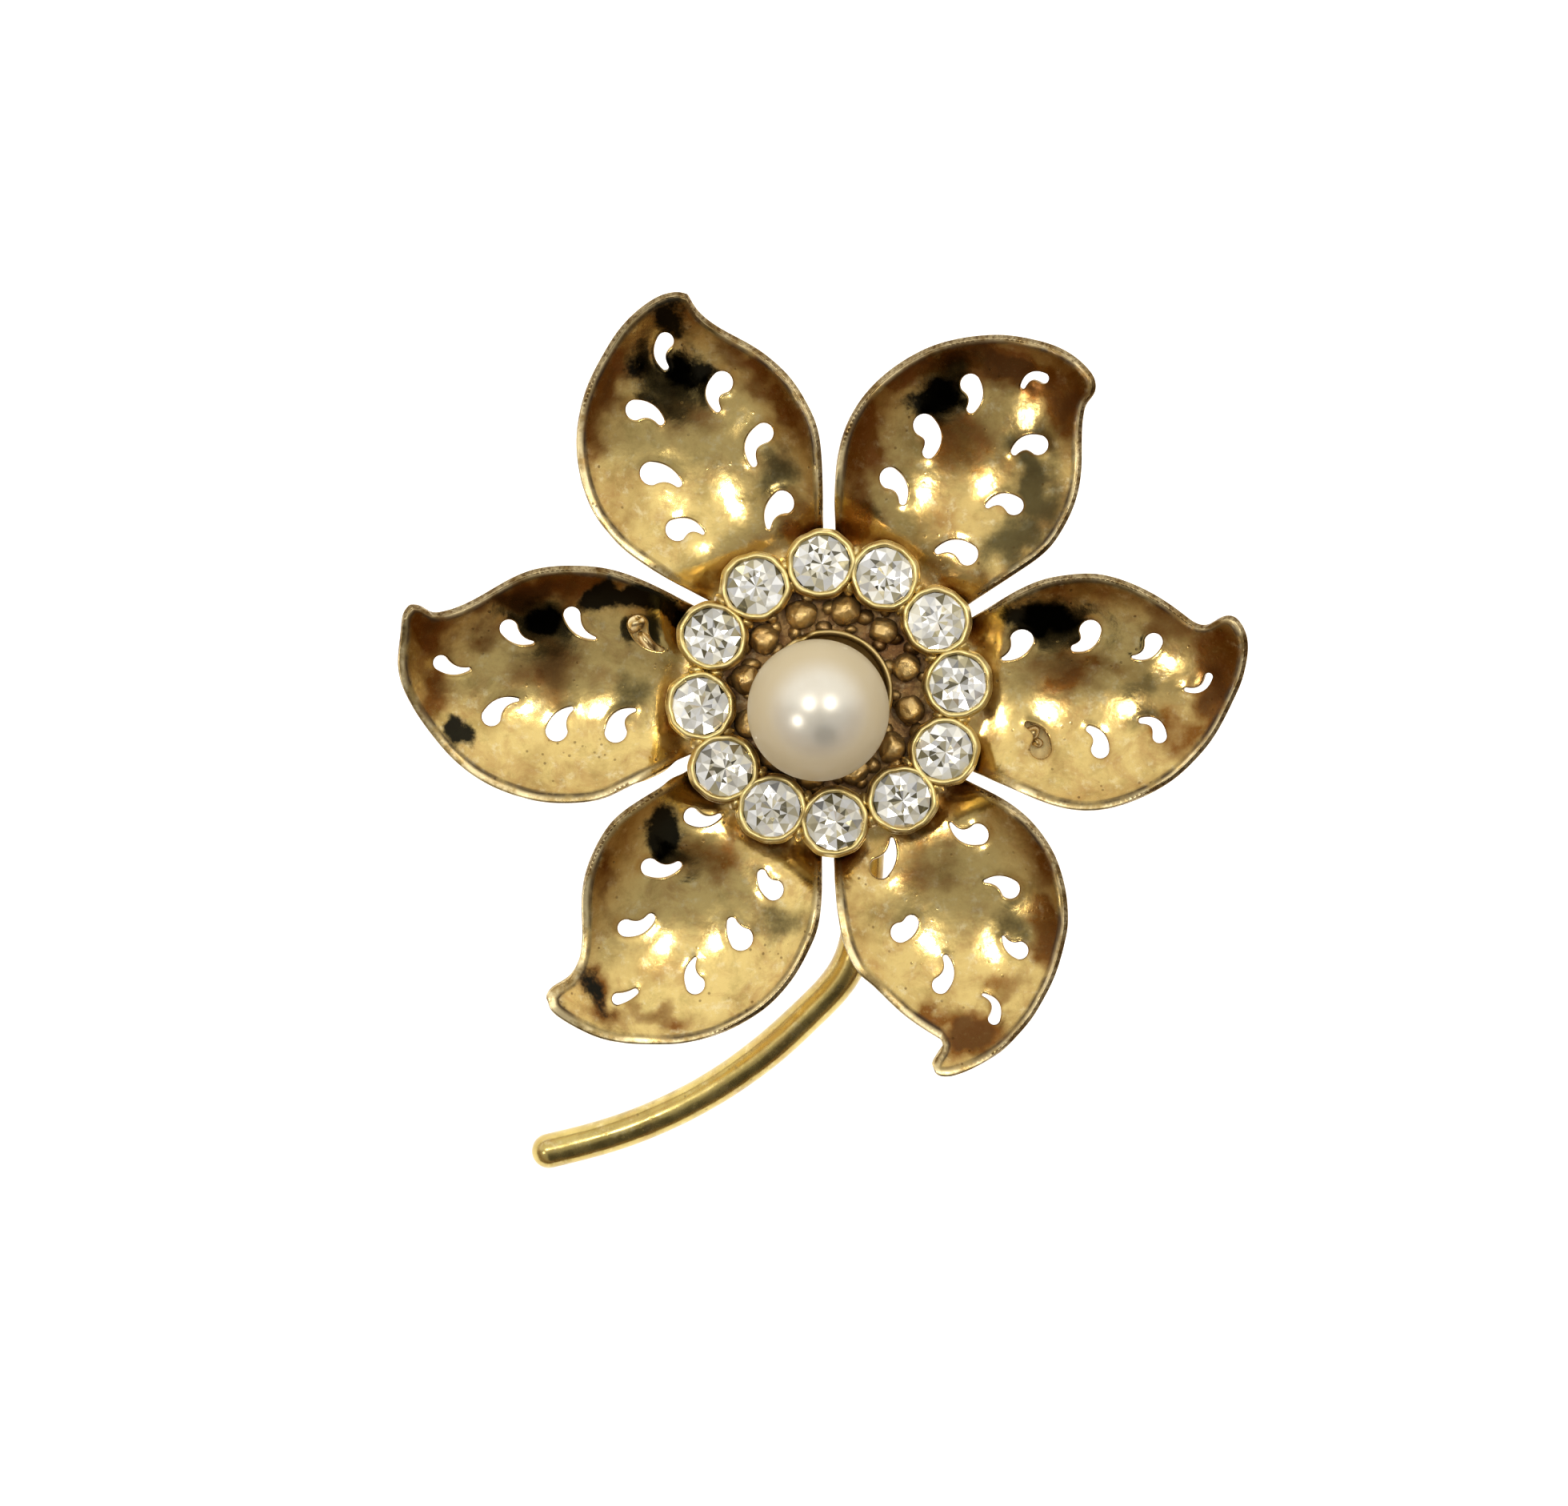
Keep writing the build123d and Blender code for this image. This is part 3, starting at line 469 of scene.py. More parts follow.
# ---------------------------------------------------------------------------
# Petal outlines, dish rims and piercings (mm from the flower axis)
# ---------------------------------------------------------------------------
PETALS = {
    "petal_right": {
        "turn": 0,
        "edge": [
            (9.10, -4.95), (11.63, -6.05), (13.59, -6.88), (15.51, -7.31), (16.40, -7.33), (17.72, -7.15),
            (19.47, -6.55), (20.73, -5.91), (21.71, -5.23), (22.77, -4.24), (23.69, -3.17), (25.25, -0.32),
            (25.62, 0.55), (25.93, 1.78), (26.02, 3.00), (25.81, 3.89), (25.54, 4.36), (25.15, 4.73),
            (24.55, 4.77), (23.65, 4.28), (23.23, 4.25), (22.29, 4.77), (20.43, 6.06), (19.51, 6.54),
            (17.96, 7.14), (16.73, 7.40), (14.70, 7.33), (13.64, 7.14), (9.92, 5.31),
        ],
        "rim": (8.672, -0.934, 0.180, 1.963, 0.080, -0.488, 0.283),
        "commas": [
            (16.38, 3.99, 0.73, 15.41, 2.88, 0.45, 0.28),
            (12.10, 3.36, 0.75, 10.97, 2.18, 0.31, 0.14),
            (20.38, 3.26, 0.61, 19.11, 2.30, 0.43, 0.14),
            (23.81, 1.02, 0.29, 22.41, 0.22, 0.51, 0.17),
            (20.76, -2.75, 0.49, 19.64, -1.76, -0.55, 0.23),
            (17.01, -3.61, 0.61, 16.36, -2.31, -0.40, 0.27),
            (13.24, -3.56, 0.70, 12.45, -2.05, -0.42, 0.22),
        ],
    },
    "petal_upper_right": {
        "turn": 60,
        "edge": [
            (8.71, 5.51), (11.92, 7.61), (13.81, 9.11), (14.55, 10.18), (15.22, 11.55), (15.73, 13.85),
            (15.88, 17.40), (16.05, 17.97), (16.49, 18.59), (16.58, 19.05), (16.47, 19.55), (16.18, 20.01),
            (14.97, 21.10), (13.80, 21.68), (12.51, 22.04), (11.00, 22.28), (9.41, 22.26), (7.77, 22.01),
            (6.31, 21.57), (5.36, 21.12), (3.81, 20.12), (2.32, 18.70), (1.36, 17.27), (0.92, 16.26),
            (0.52, 14.60), (0.42, 10.22),
        ],
        "rim": (8.711, -0.794, -0.117, 1.884, -0.213, -0.622, -0.228),
        "commas": [
            (13.49, 19.69, 0.37, 12.19, 19.22, -0.58, 0.20),
            (8.86, 19.41, 0.68, 8.93, 17.86, 0.38, 0.33),
            (5.94, 16.82, 0.76, 6.23, 15.12, 0.47, 0.45),
            (13.19, 15.52, 0.67, 11.70, 15.14, -0.42, 0.28),
            (3.76, 13.47, 0.71, 4.60, 12.04, 0.36, 0.29),
            (11.68, 11.67, 0.64, 10.03, 11.71, -0.47, 0.22),
            (8.77, 8.64, 0.69, 6.87, 8.91, -0.41, 0.23),
        ],
    },
    "petal_upper_left": {
        "turn": 120,
        "edge": [
            (-0.34, 10.63), (-0.43, 14.30), (-0.54, 15.58), (-0.77, 16.65), (-1.40, 18.07), (-2.41, 19.61),
            (-3.30, 20.52), (-4.64, 21.53), (-7.83, 23.45), (-8.18, 23.80), (-8.76, 24.71), (-9.28, 24.84),
            (-9.83, 24.81), (-10.46, 24.64), (-11.12, 24.30), (-12.15, 23.53), (-13.08, 22.56), (-14.15, 20.93),
            (-15.03, 19.20), (-15.41, 18.04), (-15.69, 16.50), (-15.72, 15.20), (-15.51, 13.57), (-15.13, 12.24),
            (-14.55, 11.03), (-13.78, 10.00), (-12.75, 8.92), (-12.28, 8.55), (-7.40, 5.78),
        ],
        "rim": (8.781, -0.377, -0.595, 2.078, 0.004, -0.691, -0.349),
        "commas": [
            (-10.22, 22.05, 0.57, -10.23, 20.45, -0.42, 0.25),
            (-6.64, 19.50, 0.74, -6.96, 17.87, -0.51, 0.27),
            (-12.15, 17.75, 0.68, -10.57, 17.07, 0.34, 0.29),
            (-3.98, 16.31, 0.67, -4.63, 14.40, -0.50, 0.27),
            (-11.16, 13.74, 0.78, -9.47, 13.15, 0.28, 0.30),
            (-2.84, 11.98, 0.76, -3.77, 10.44, -0.33, 0.17),
            (-9.56, 10.16, 0.75, -7.93, 10.01, 0.42, 0.17),
        ],
    },
    "petal_left": {
        "turn": 180,
        "edge": [
            (-8.56, 5.56), (-11.85, 7.12), (-13.80, 7.73), (-15.55, 7.91), (-17.29, 7.86), (-18.28, 7.70),
            (-19.25, 7.38), (-24.00, 5.07), (-24.74, 5.04), (-25.45, 5.43), (-25.99, 5.46), (-26.37, 5.00),
            (-26.55, 4.17), (-26.77, 1.80), (-26.63, 0.80), (-26.24, -0.22), (-24.64, -2.71), (-23.53, -4.00),
            (-22.48, -4.91), (-20.99, -5.82), (-19.64, -6.36), (-18.17, -6.75), (-15.90, -6.86), (-14.82, -6.76),
            (-13.90, -6.53), (-12.97, -6.11), (-9.55, -4.23),
        ],
        "rim": (8.906, -0.517, -0.744, 2.145, -0.046, -0.445, -0.319),
        "commas": [
            (-16.06, 4.98, 0.57, -14.65, 3.51, -0.34, 0.14),
            (-20.06, 4.11, 0.61, -18.59, 3.24, -0.32, 0.14),
            (-24.30, 1.90, 0.53, -22.59, 1.53, -0.30, 0.14),
            (-21.18, -1.51, 0.65, -19.54, -0.43, 0.36, 0.14),
            (-17.07, -2.40, 0.74, -16.13, -1.00, 0.29, 0.18),
            (-13.32, -2.49, 0.73, -12.17, -1.08, 0.46, 0.15),
            (-11.98, 4.40, 0.62, -10.50, 2.75, -0.34, 0.14),
        ],
    },
    "petal_lower_left": {
        "turn": 240,
        "edge": [
            (-8.99, -4.93), (-11.77, -6.66), (-13.34, -7.84), (-14.71, -9.96), (-15.03, -10.75), (-15.35, -12.08),
            (-15.69, -17.09), (-16.21, -17.91), (-17.19, -18.58), (-17.45, -18.98), (-17.31, -19.59), (-16.79, -20.12),
            (-15.59, -20.87), (-14.36, -21.44), (-12.94, -21.77), (-11.10, -21.89), (-9.38, -21.85), (-7.73, -21.55),
            (-6.49, -21.14), (-5.13, -20.45), (-3.94, -19.64), (-2.78, -18.49), (-2.00, -17.43), (-1.23, -16.00),
            (-0.77, -14.90), (-0.54, -13.78), (-0.43, -10.24),
        ],
        "rim": (8.709, -0.978, -0.515, 1.916, -0.211, -0.420, -0.333),
        "commas": [
            (-8.66, -7.71, 0.55, -6.88, -7.71, -0.37, 0.17),
            (-11.27, -10.84, 0.61, -9.47, -10.72, -0.33, 0.29),
            (-3.39, -12.36, 0.67, -4.16, -11.36, 0.28, 0.33),
            (-12.77, -14.69, 0.58, -11.21, -14.09, -0.34, 0.34),
            (-5.45, -15.39, 0.82, -6.03, -14.37, 0.16, 0.36),
            (-8.36, -18.31, 0.66, -8.36, -16.68, 0.35, 0.14),
            (-13.26, -19.17, 0.41, -12.14, -18.72, -0.12, 0.24),
        ],
    },
    "petal_lower_right": {
        "turn": 300,
        "edge": [
            (0.33, -10.51), (0.62, -14.14), (0.92, -15.54), (1.42, -16.75), (2.00, -17.62), (2.41, -17.97),
            (4.56, -19.97), (7.04, -21.63), (7.13, -22.21), (6.55, -23.33), (6.59, -23.59), (6.74, -23.74),
            (7.15, -23.83), (7.84, -23.72), (10.03, -22.80), (10.69, -22.37), (11.72, -21.40), (12.77, -20.14),
            (13.35, -19.18), (13.95, -18.02), (14.71, -15.63), (14.90, -14.57), (14.91, -13.61), (14.76, -12.27),
            (14.51, -11.26), (14.14, -10.24), (13.47, -9.06), (12.62, -8.00), (11.75, -7.22), (8.60, -5.45),
        ],
        "rim": (8.341, -1.304, -0.184, 1.798, -0.322, -0.607, -0.413),
        "commas": [
            (9.43, -8.80, 0.69, 7.70, -8.22, 0.45, 0.14),
            (11.40, -12.20, 0.68, 9.85, -11.75, -0.30, 0.14),
            (4.40, -15.02, 0.67, 5.12, -14.40, -0.24, 0.54),
            (12.02, -16.13, 0.60, 11.00, -15.31, 0.31, 0.14),
            (6.96, -18.36, 0.58, 7.31, -16.62, -0.40, 0.23),
            (3.20, -11.00, 0.70, 3.98, -9.20, -0.30, 0.15),
            (10.35, -20.45, 0.42, 9.70, -18.95, -0.55, 0.14),
        ],
    },
}




# ---------------------------------------------------------------------------
# Materials: every one is a node tree, in the row frame's own coordinates
# ---------------------------------------------------------------------------
class Tree:
    def __init__(self, name):
        self.mat = bpy.data.materials.new(name)
        self.mat.use_nodes = True
        self.t = self.mat.node_tree
        self.t.nodes.clear()
        self.out = self.t.nodes.new("ShaderNodeOutputMaterial")
        self.bsdf = self.t.nodes.new("ShaderNodeBsdfPrincipled")
        self.t.links.new(self.bsdf.outputs[0], self.out.inputs["Surface"])
        self.coords = self.t.nodes.new("ShaderNodeTexCoord").outputs["Object"]

    def link(self, src, dst):
        if isinstance(src, (int, float)):
            dst.default_value = src
        elif isinstance(src, (tuple, list)):
            dst.default_value = tuple(src) + ((1.0,) if len(src) == 3
                                              and len(dst.default_value) == 4 else ())
        else:
            self.t.links.new(src, dst)
        return dst

    def noise(self, size_mm, detail=3.0, rough=0.5, stretch=None, distort=0.0):
        n = self.t.nodes.new("ShaderNodeTexNoise")
        vec = self.coords
        if stretch:
            m = self.t.nodes.new("ShaderNodeMapping")
            m.inputs["Scale"].default_value = stretch
            self.link(vec, m.inputs["Vector"])
            vec = m.outputs[0]
        self.link(vec, n.inputs["Vector"])
        n.inputs["Scale"].default_value = 1.0 / (size_mm * MM)
        n.inputs["Detail"].default_value = detail
        n.inputs["Roughness"].default_value = rough
        n.inputs["Distortion"].default_value = distort
        return n.outputs["Fac"]

    def cells(self, size_mm, feature="F1", randomness=1.0):
        n = self.t.nodes.new("ShaderNodeTexVoronoi")
        n.feature = feature
        self.link(self.coords, n.inputs["Vector"])
        n.inputs["Scale"].default_value = 1.0 / (size_mm * MM)
        n.inputs["Randomness"].default_value = randomness
        return n

    def attr(self, name):
        n = self.t.nodes.new("ShaderNodeAttribute")
        n.attribute_name = name
        return n.outputs["Fac"]

    def math(self, op, a, b=0.0, c=0.0, clamp=False):
        n = self.t.nodes.new("ShaderNodeMath")
        n.operation = op
        n.use_clamp = clamp
        for i, v in enumerate((a, b, c)):
            self.link(v, n.inputs[i])
        return n.outputs[0]

    def span(self, v, a, b, lo=0.0, hi=1.0, kind="SMOOTHSTEP"):
        n = self.t.nodes.new("ShaderNodeMapRange")
        n.interpolation_type = kind
        self.link(v, n.inputs[0])
        n.inputs[1].default_value, n.inputs[2].default_value = a, b
        n.inputs[3].default_value, n.inputs[4].default_value = lo, hi
        return n.outputs[0]

    def mix(self, f, a, b):
        n = self.t.nodes.new("ShaderNodeMix")
        n.data_type = "RGBA"
        self.link(f, n.inputs["Factor"])
        ins = [i for i in n.inputs if i.type == "RGBA"]
        self.link(a, ins[0])
        self.link(b, ins[1])
        return [o for o in n.outputs if o.type == "RGBA"][0]

    def bump(self, height, strength, dist_mm, normal=None):
        n = self.t.nodes.new("ShaderNodeBump")
        n.inputs["Strength"].default_value = strength
        n.inputs["Distance"].default_value = dist_mm * MM
        self.link(height, n.inputs["Height"])
        if normal is not None:
            self.link(normal, n.inputs["Normal"])
        return n.outputs[0]

    def set(self, **kw):
        for key, v in kw.items():
            self.link(v, self.bsdf.inputs[key.replace("_", " ")])
        return self


def gilt(name, gold, brown, dark=0.5, rough=(0.20, 0.34), pits=0.6, wave=0.12,
         metal=1.0, worn_to=(0.74, 0.60, 0.34), coat=0.0, cloud=0.0, crust=0.0):
    """Aged gilt brass: warm gold that has browned in patches, with pits, a
    soft unevenness in the reflection, and lighter metal on cut edges.  Points
    may carry rim (near the dish rim, browner there as a painted dark
    reflection), upper (its shaded side, where that painted reflection is
    stronger), hole (near a piercing), nook (painted shade deep in a corner or
    under another part, and a random darker tone on loose crumbs), edge (cut or
    worn edge), stain (browned places) and soot (painted dark reflection of the
    dim room, and a few blackened places), olive (dull ones), lip and crease
    (the narrow flat edge and the line inside it, darkened there as painted
    shade), tone (browner or paler)."""
    m = Tree(name)
    big = m.noise(4.2, 4.0, 0.55, distort=0.3)
    mid = m.noise(1.3, 5.0, 0.6)
    fine = m.noise(0.22, 3.0, 0.6)
    rim, hole = m.attr("rim"), m.attr("hole")
    nook, edge = m.attr("nook"), m.attr("edge")

    def mul(a, b):
        return m.math("MULTIPLY", a, b)

    def add(a, b, clamp=False):
        return m.math("ADD", a, b, clamp=clamp)

    ragged = add(mul(m.math("SUBTRACT", mid, 0.5), 0.8), mul(m.math("SUBTRACT", fine, 0.5), 0.7))
    stained = m.span(add(m.attr("stain"), mul(ragged, 0.42)), 0.02, 1.05)
    # painted dark reflection of the dim room, with a few blackened spots, ragged at its edge
    dark_reflection_and_soot_mask = m.span(add(m.attr("dark_reflection_and_soot"), mul(ragged, 0.6)), 0.26, 0.74)
    olive = m.span(add(m.attr("olive"), mul(ragged, 0.5)), 0.02, 1.1)
    patch = m.span(big, 0.46, 0.72)
    mott = m.span(mid, 0.45, 0.74)
    plum = m.span(m.noise(2.3, 6.0, 0.70, distort=0.5), 0.46, 0.68)
    grey = m.span(m.noise(1.7, 6.0, 0.72, distort=0.4), 0.48, 0.70)
    pale = mul(m.span(m.noise(0.75, 5.0, 0.68), 0.52, 0.72), m.math("SUBTRACT", 1.0, stained))
    age_and_shade = add(mul(patch, dark), mul(mott, dark * 0.45))
    age_and_shade = add(age_and_shade, m.attr("tone"))
    # painted dark reflection: browner near the dish rim, more so on the upper side
    age_and_shade = add(age_and_shade, mul(rim, add(0.16, mul(m.attr("upper"), 0.34))))
    age_and_shade = add(age_and_shade, mul(stained, 0.78))
    # painted shade: browner and darker in corners and under other parts
    age_and_shade = add(age_and_shade, mul(nook, 0.85), clamp=True)
    spot = m.cells(0.62)
    small = m.span(spot.outputs["Distance"], 0.10, 0.20, 1.0, 0.0)
    gate = m.span(m.noise(2.0, 2.0), 0.50, 0.60)
    pit = mul(mul(small, gate), pits)
    deep = tuple(0.32 * c for c in brown)
    col = m.mix(age_and_shade, gold, brown)
    if cloud:
        col = m.mix(mul(plum, 0.42 * cloud), col, (0.33, 0.125, 0.035))
        col = m.mix(mul(grey, 0.38 * cloud), col, (0.25, 0.185, 0.040))
        col = m.mix(mul(pale, 0.44 * cloud), col, (0.96, 0.86, 0.54))
    col = m.mix(mul(m.span(fine, 0.55, 0.75), 0.25), col, tuple(0.8 * c for c in gold))
    col = m.mix(mul(stained, 0.28), col, (0.22, 0.092, 0.036))
    col = m.mix(m.span(add(m.attr("stain"), mul(ragged, 0.3)), 0.80, 1.15, 0.0, 0.68), col, (0.085, 0.033, 0.009))
    col = m.mix(mul(olive, 0.90), col, (0.050, 0.040, 0.014))
    col = m.mix(mul(m.attr("lip"), 0.80), col, m.mix(m.span(mid, 0.38, 0.58), (0.36, 0.25, 0.10),
                                                     (0.84, 0.71, 0.41)))
    # painted shade: the line inside the lip darker, duller and rougher
    crease_shade_mask = mul(m.attr("crease_shade"), m.span(mid, 0.30, 0.58, 0.45, 1.0))
    crease_shade_mask = mul(crease_shade_mask, m.span(big, 0.36, 0.56, 0.45, 1.0))
    col = m.mix(mul(crease_shade_mask, 0.95), col, (0.026, 0.013, 0.004))
    metal = m.math("SUBTRACT", metal, mul(crease_shade_mask, 0.35 * metal))
    col = m.mix(mul(m.attr("cut"), m.span(fine, 0.30, 0.62, 1.0, 0.55)), col, deep)
    col = m.mix(mul(hole, 0.45), col, brown)
    col = m.mix(mul(pit, 0.8), col, deep)
    # painted dark reflection: nearly black where the black marks are set
    col = m.mix(mul(dark_reflection_and_soot_mask, 0.985), col, (0.007, 0.007, 0.004))
    worn = mul(edge, m.span(mid, 0.30, 0.62))
    col = m.mix(worn, col, worn_to)
    r = m.span(mid, 0.3, 0.75, rough[0], rough[1])
    r = add(r, mul(age_and_shade, 0.05))
    r = add(r, mul(stained, 0.07))
    r = add(r, mul(pit, 0.2))
    r = add(r, mul(m.attr("lip"), 0.14))
    r = add(r, mul(crease_shade_mask, 0.3))
    r = add(r, mul(edge, 0.10))
    nrm = m.bump(m.noise(1.7, 2.0, 0.4), wave, 0.35)
    if cloud:
        nrm = m.bump(m.noise(0.8, 2.0, 0.5), 0.10 * cloud, 0.16, nrm)
    if crust:
        nrm = m.bump(m.noise(0.5, 5.0, 0.65, distort=0.3), crust, 0.10, nrm)
    nrm = m.bump(fine, 0.10, 0.03, nrm)
    nrm = m.bump(pit, 0.25, -0.03, nrm)
    m.set(Base_Color=col, Metallic=metal, Roughness=r, Normal=nrm, Coat_Weight=coat,
          Coat_Roughness=0.10, Coat_IOR=1.5)
    return m.mat


def clear_stone():
    """Foiled glass seen from above: the coat is the polished top, the layer
    under it the shards of the foiled back, each with its own slope and its
    own painted brightness, nearly black to white, as painted sparkle."""
    m = Tree("clear_stone_crown")
    tone = m.attr("tone")
    haze = m.noise(0.5, 3.0)
    # painted sparkle: each shard's colour nearly black, grey or white by its tone
    col = m.mix(m.span(tone, -0.5, 0.0), (0.14, 0.12, 0.06), (0.50, 0.44, 0.26))
    col = m.mix(m.span(tone, 0.0, 0.45), col, (0.90, 0.875, 0.78))
    col = m.mix(m.span(tone, 0.55, 1.0), col, (1.0, 1.0, 0.99))
    a = m.t.nodes.new("ShaderNodeAttribute")
    a.attribute_name = "shard"
    to_world = m.t.nodes.new("ShaderNodeVectorTransform")
    to_world.vector_type, to_world.convert_from, to_world.convert_to = "NORMAL", "OBJECT", "WORLD"
    m.link(a.outputs["Vector"], to_world.inputs[0])
    m.set(Base_Color=col, Metallic=0.68, Roughness=m.span(haze, 0.3, 0.7, 0.06, 0.14),
          Normal=to_world.outputs[0], Coat_Weight=1.0, Coat_Roughness=0.02,
          Coat_IOR=1.56)
    return m.mat


def stone_foil():
    m = Tree("stone_foil")
    tone = m.span(m.noise(0.5, 3.0), 0.35, 0.75)
    col = m.mix(tone, (0.80, 0.74, 0.55), (0.62, 0.50, 0.30))
    m.set(Base_Color=col, Metallic=1.0,
          Roughness=m.span(m.noise(0.35, 2.0), 0.3, 0.8, 0.15, 0.3))
    return m.mat


def pearl_skin():
    m = Tree("pearl_lacquer")
    cloud = m.noise(3.0, 3.0, 0.5)
    fine = m.noise(0.35, 3.0, 0.6)
    low = m.attr("low")
    col = m.mix(m.span(cloud, 0.35, 0.7), (0.77, 0.735, 0.64), (0.71, 0.665, 0.56))
    # painted shade and painted reflection of the gold round it: the pearl browner on its lower side
    col = m.mix(low, col, (0.56, 0.475, 0.31))
    sheen = m.mix(m.span(cloud, 0.3, 0.75), (0.95, 0.90, 0.86), (0.86, 0.93, 0.90))
    edge_tint = m.mix(0.75, sheen, (0.42, 0.33, 0.21))
    m.set(Base_Color=col, Roughness=m.math("ADD", m.span(fine, 0.3, 0.8, 0.28, 0.295),
                                           m.math("MULTIPLY", low, 0.15)),
          Specular_IOR_Level=0.22, Specular_Tint=edge_tint,
          Coat_Weight=m.math("MULTIPLY", m.math("SUBTRACT", 1.0, m.math("MULTIPLY", low, 0.75)), 0.62),
          Coat_Roughness=0.16, Coat_IOR=1.45,
          Subsurface_Weight=0.2, Subsurface_Scale=0.0012,
          Subsurface_Radius=(1.0, 0.85, 0.65),
          Metallic=m.math("MULTIPLY", m.math("SUBTRACT", 1.0, low), 0.56))
    return m.mat


def steel():
    m = Tree("pin_steel")
    drawn = m.noise(0.12, 3.0, 0.6, stretch=(0.08, 1.0, 1.0))
    spots = m.span(m.noise(0.8, 4.0), 0.58, 0.72)
    col = m.mix(m.math("MULTIPLY", spots, 0.6), (0.62, 0.61, 0.58), (0.33, 0.25, 0.17))
    m.set(Base_Color=col, Metallic=1.0,
          Roughness=m.math("ADD", m.span(drawn, 0.3, 0.7, 0.20, 0.34),
                           m.math("MULTIPLY", spots, 0.2)),
          Normal=m.bump(drawn, 0.08, 0.02))
    return m.mat


MAT = {
    "petal": gilt("gilt_petal", (0.79, 0.59, 0.215), (0.200, 0.078, 0.005), 0.42,
                  (0.10, 0.20), 0.7, 0.08, coat=0.10, cloud=0.9),
    "crown": gilt("gilt_crown", (0.74, 0.57, 0.21), (0.26, 0.13, 0.03), 0.50,
                  (0.20, 0.34), 0.4, 0.26, metal=0.88, worn_to=(0.82, 0.69, 0.32), cloud=0.8,
                  crust=0.12),
    "bead": gilt("gilt_bead", (0.70, 0.47, 0.17), (0.13, 0.06, 0.014), 0.50,
                 (0.26, 0.44), 0.6, 0.6, metal=0.80, coat=0.25, cloud=0.45, crust=0.7),
    "cup": gilt("gilt_cup", (0.50, 0.36, 0.13), (0.13, 0.065, 0.018), 0.50,
                (0.24, 0.40), 0.4, 0.25, worn_to=(0.50, 0.38, 0.17)),
    "stem": gilt("gilt_stem", (0.60, 0.465, 0.15), (0.25, 0.15, 0.03), 0.50,
                 (0.18, 0.28), 0.5, 0.16, metal=0.92, worn_to=(0.66, 0.54, 0.22), cloud=0.7),
    "back": gilt("gilt_back", (0.62, 0.47, 0.21), (0.22, 0.13, 0.05), 0.50,
                 (0.24, 0.38), 0.7, 0.15),
    "glass": clear_stone(),
    "foil": stone_foil(),
    "pearl": pearl_skin(),
    "steel": steel(),
}


def finish_piece(ob, mats, body, nodes):
    for m in (mats if isinstance(mats, (list, tuple)) else [mats]):
        ob.data.materials.append(MAT[m])
    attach(ob, body)
    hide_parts(*nodes)
    return ob




# ---------------------------------------------------------------------------
# Petals: pierced, dished sheet with a rounded cut edge
# ---------------------------------------------------------------------------
PETAL_Z0 = 6.03
SHEET = 0.32
DISH_CENTRE = 16.0
DISH_R_LONG, DISH_R_CROSS, DISH_RIM = 16.5, 11.5, 0.12
SEEDS = {"petal_right": 11, "petal_upper_right": 23, "petal_upper_left": 37,
         "petal_left": 41, "petal_lower_left": 53, "petal_lower_right": 67}


def dish_height(rim, u, v):
    x, y = u - DISH_CENTRE, v
    th = np.arctan2(y, x)
    rs = (rim[0] + rim[1] * np.cos(th) + rim[2] * np.sin(th)
          + rim[3] * np.cos(2 * th) + rim[4] * np.sin(2 * th)
          + rim[5] * np.cos(3 * th) + rim[6] * np.sin(3 * th))
    rho = np.hypot(x, y) / rs
    g = np.where(rho <= 1.0, np.minimum(rho, 1.0) ** 4.5,
                 1.0 + 0.3 * (1.0 - np.exp(-15.0 * (np.maximum(rho, 1.0) - 1.0))))
    lift = DISH_RIM * (2.55 + 1.15 * np.cos(th))
    fade = smoothstep((np.hypot(u, v) - 9.0) / 5.0)
    return fade * (x * x / (2 * DISH_R_LONG) + y * y / (2 * DISH_R_CROSS)
                   + lift * g), rho
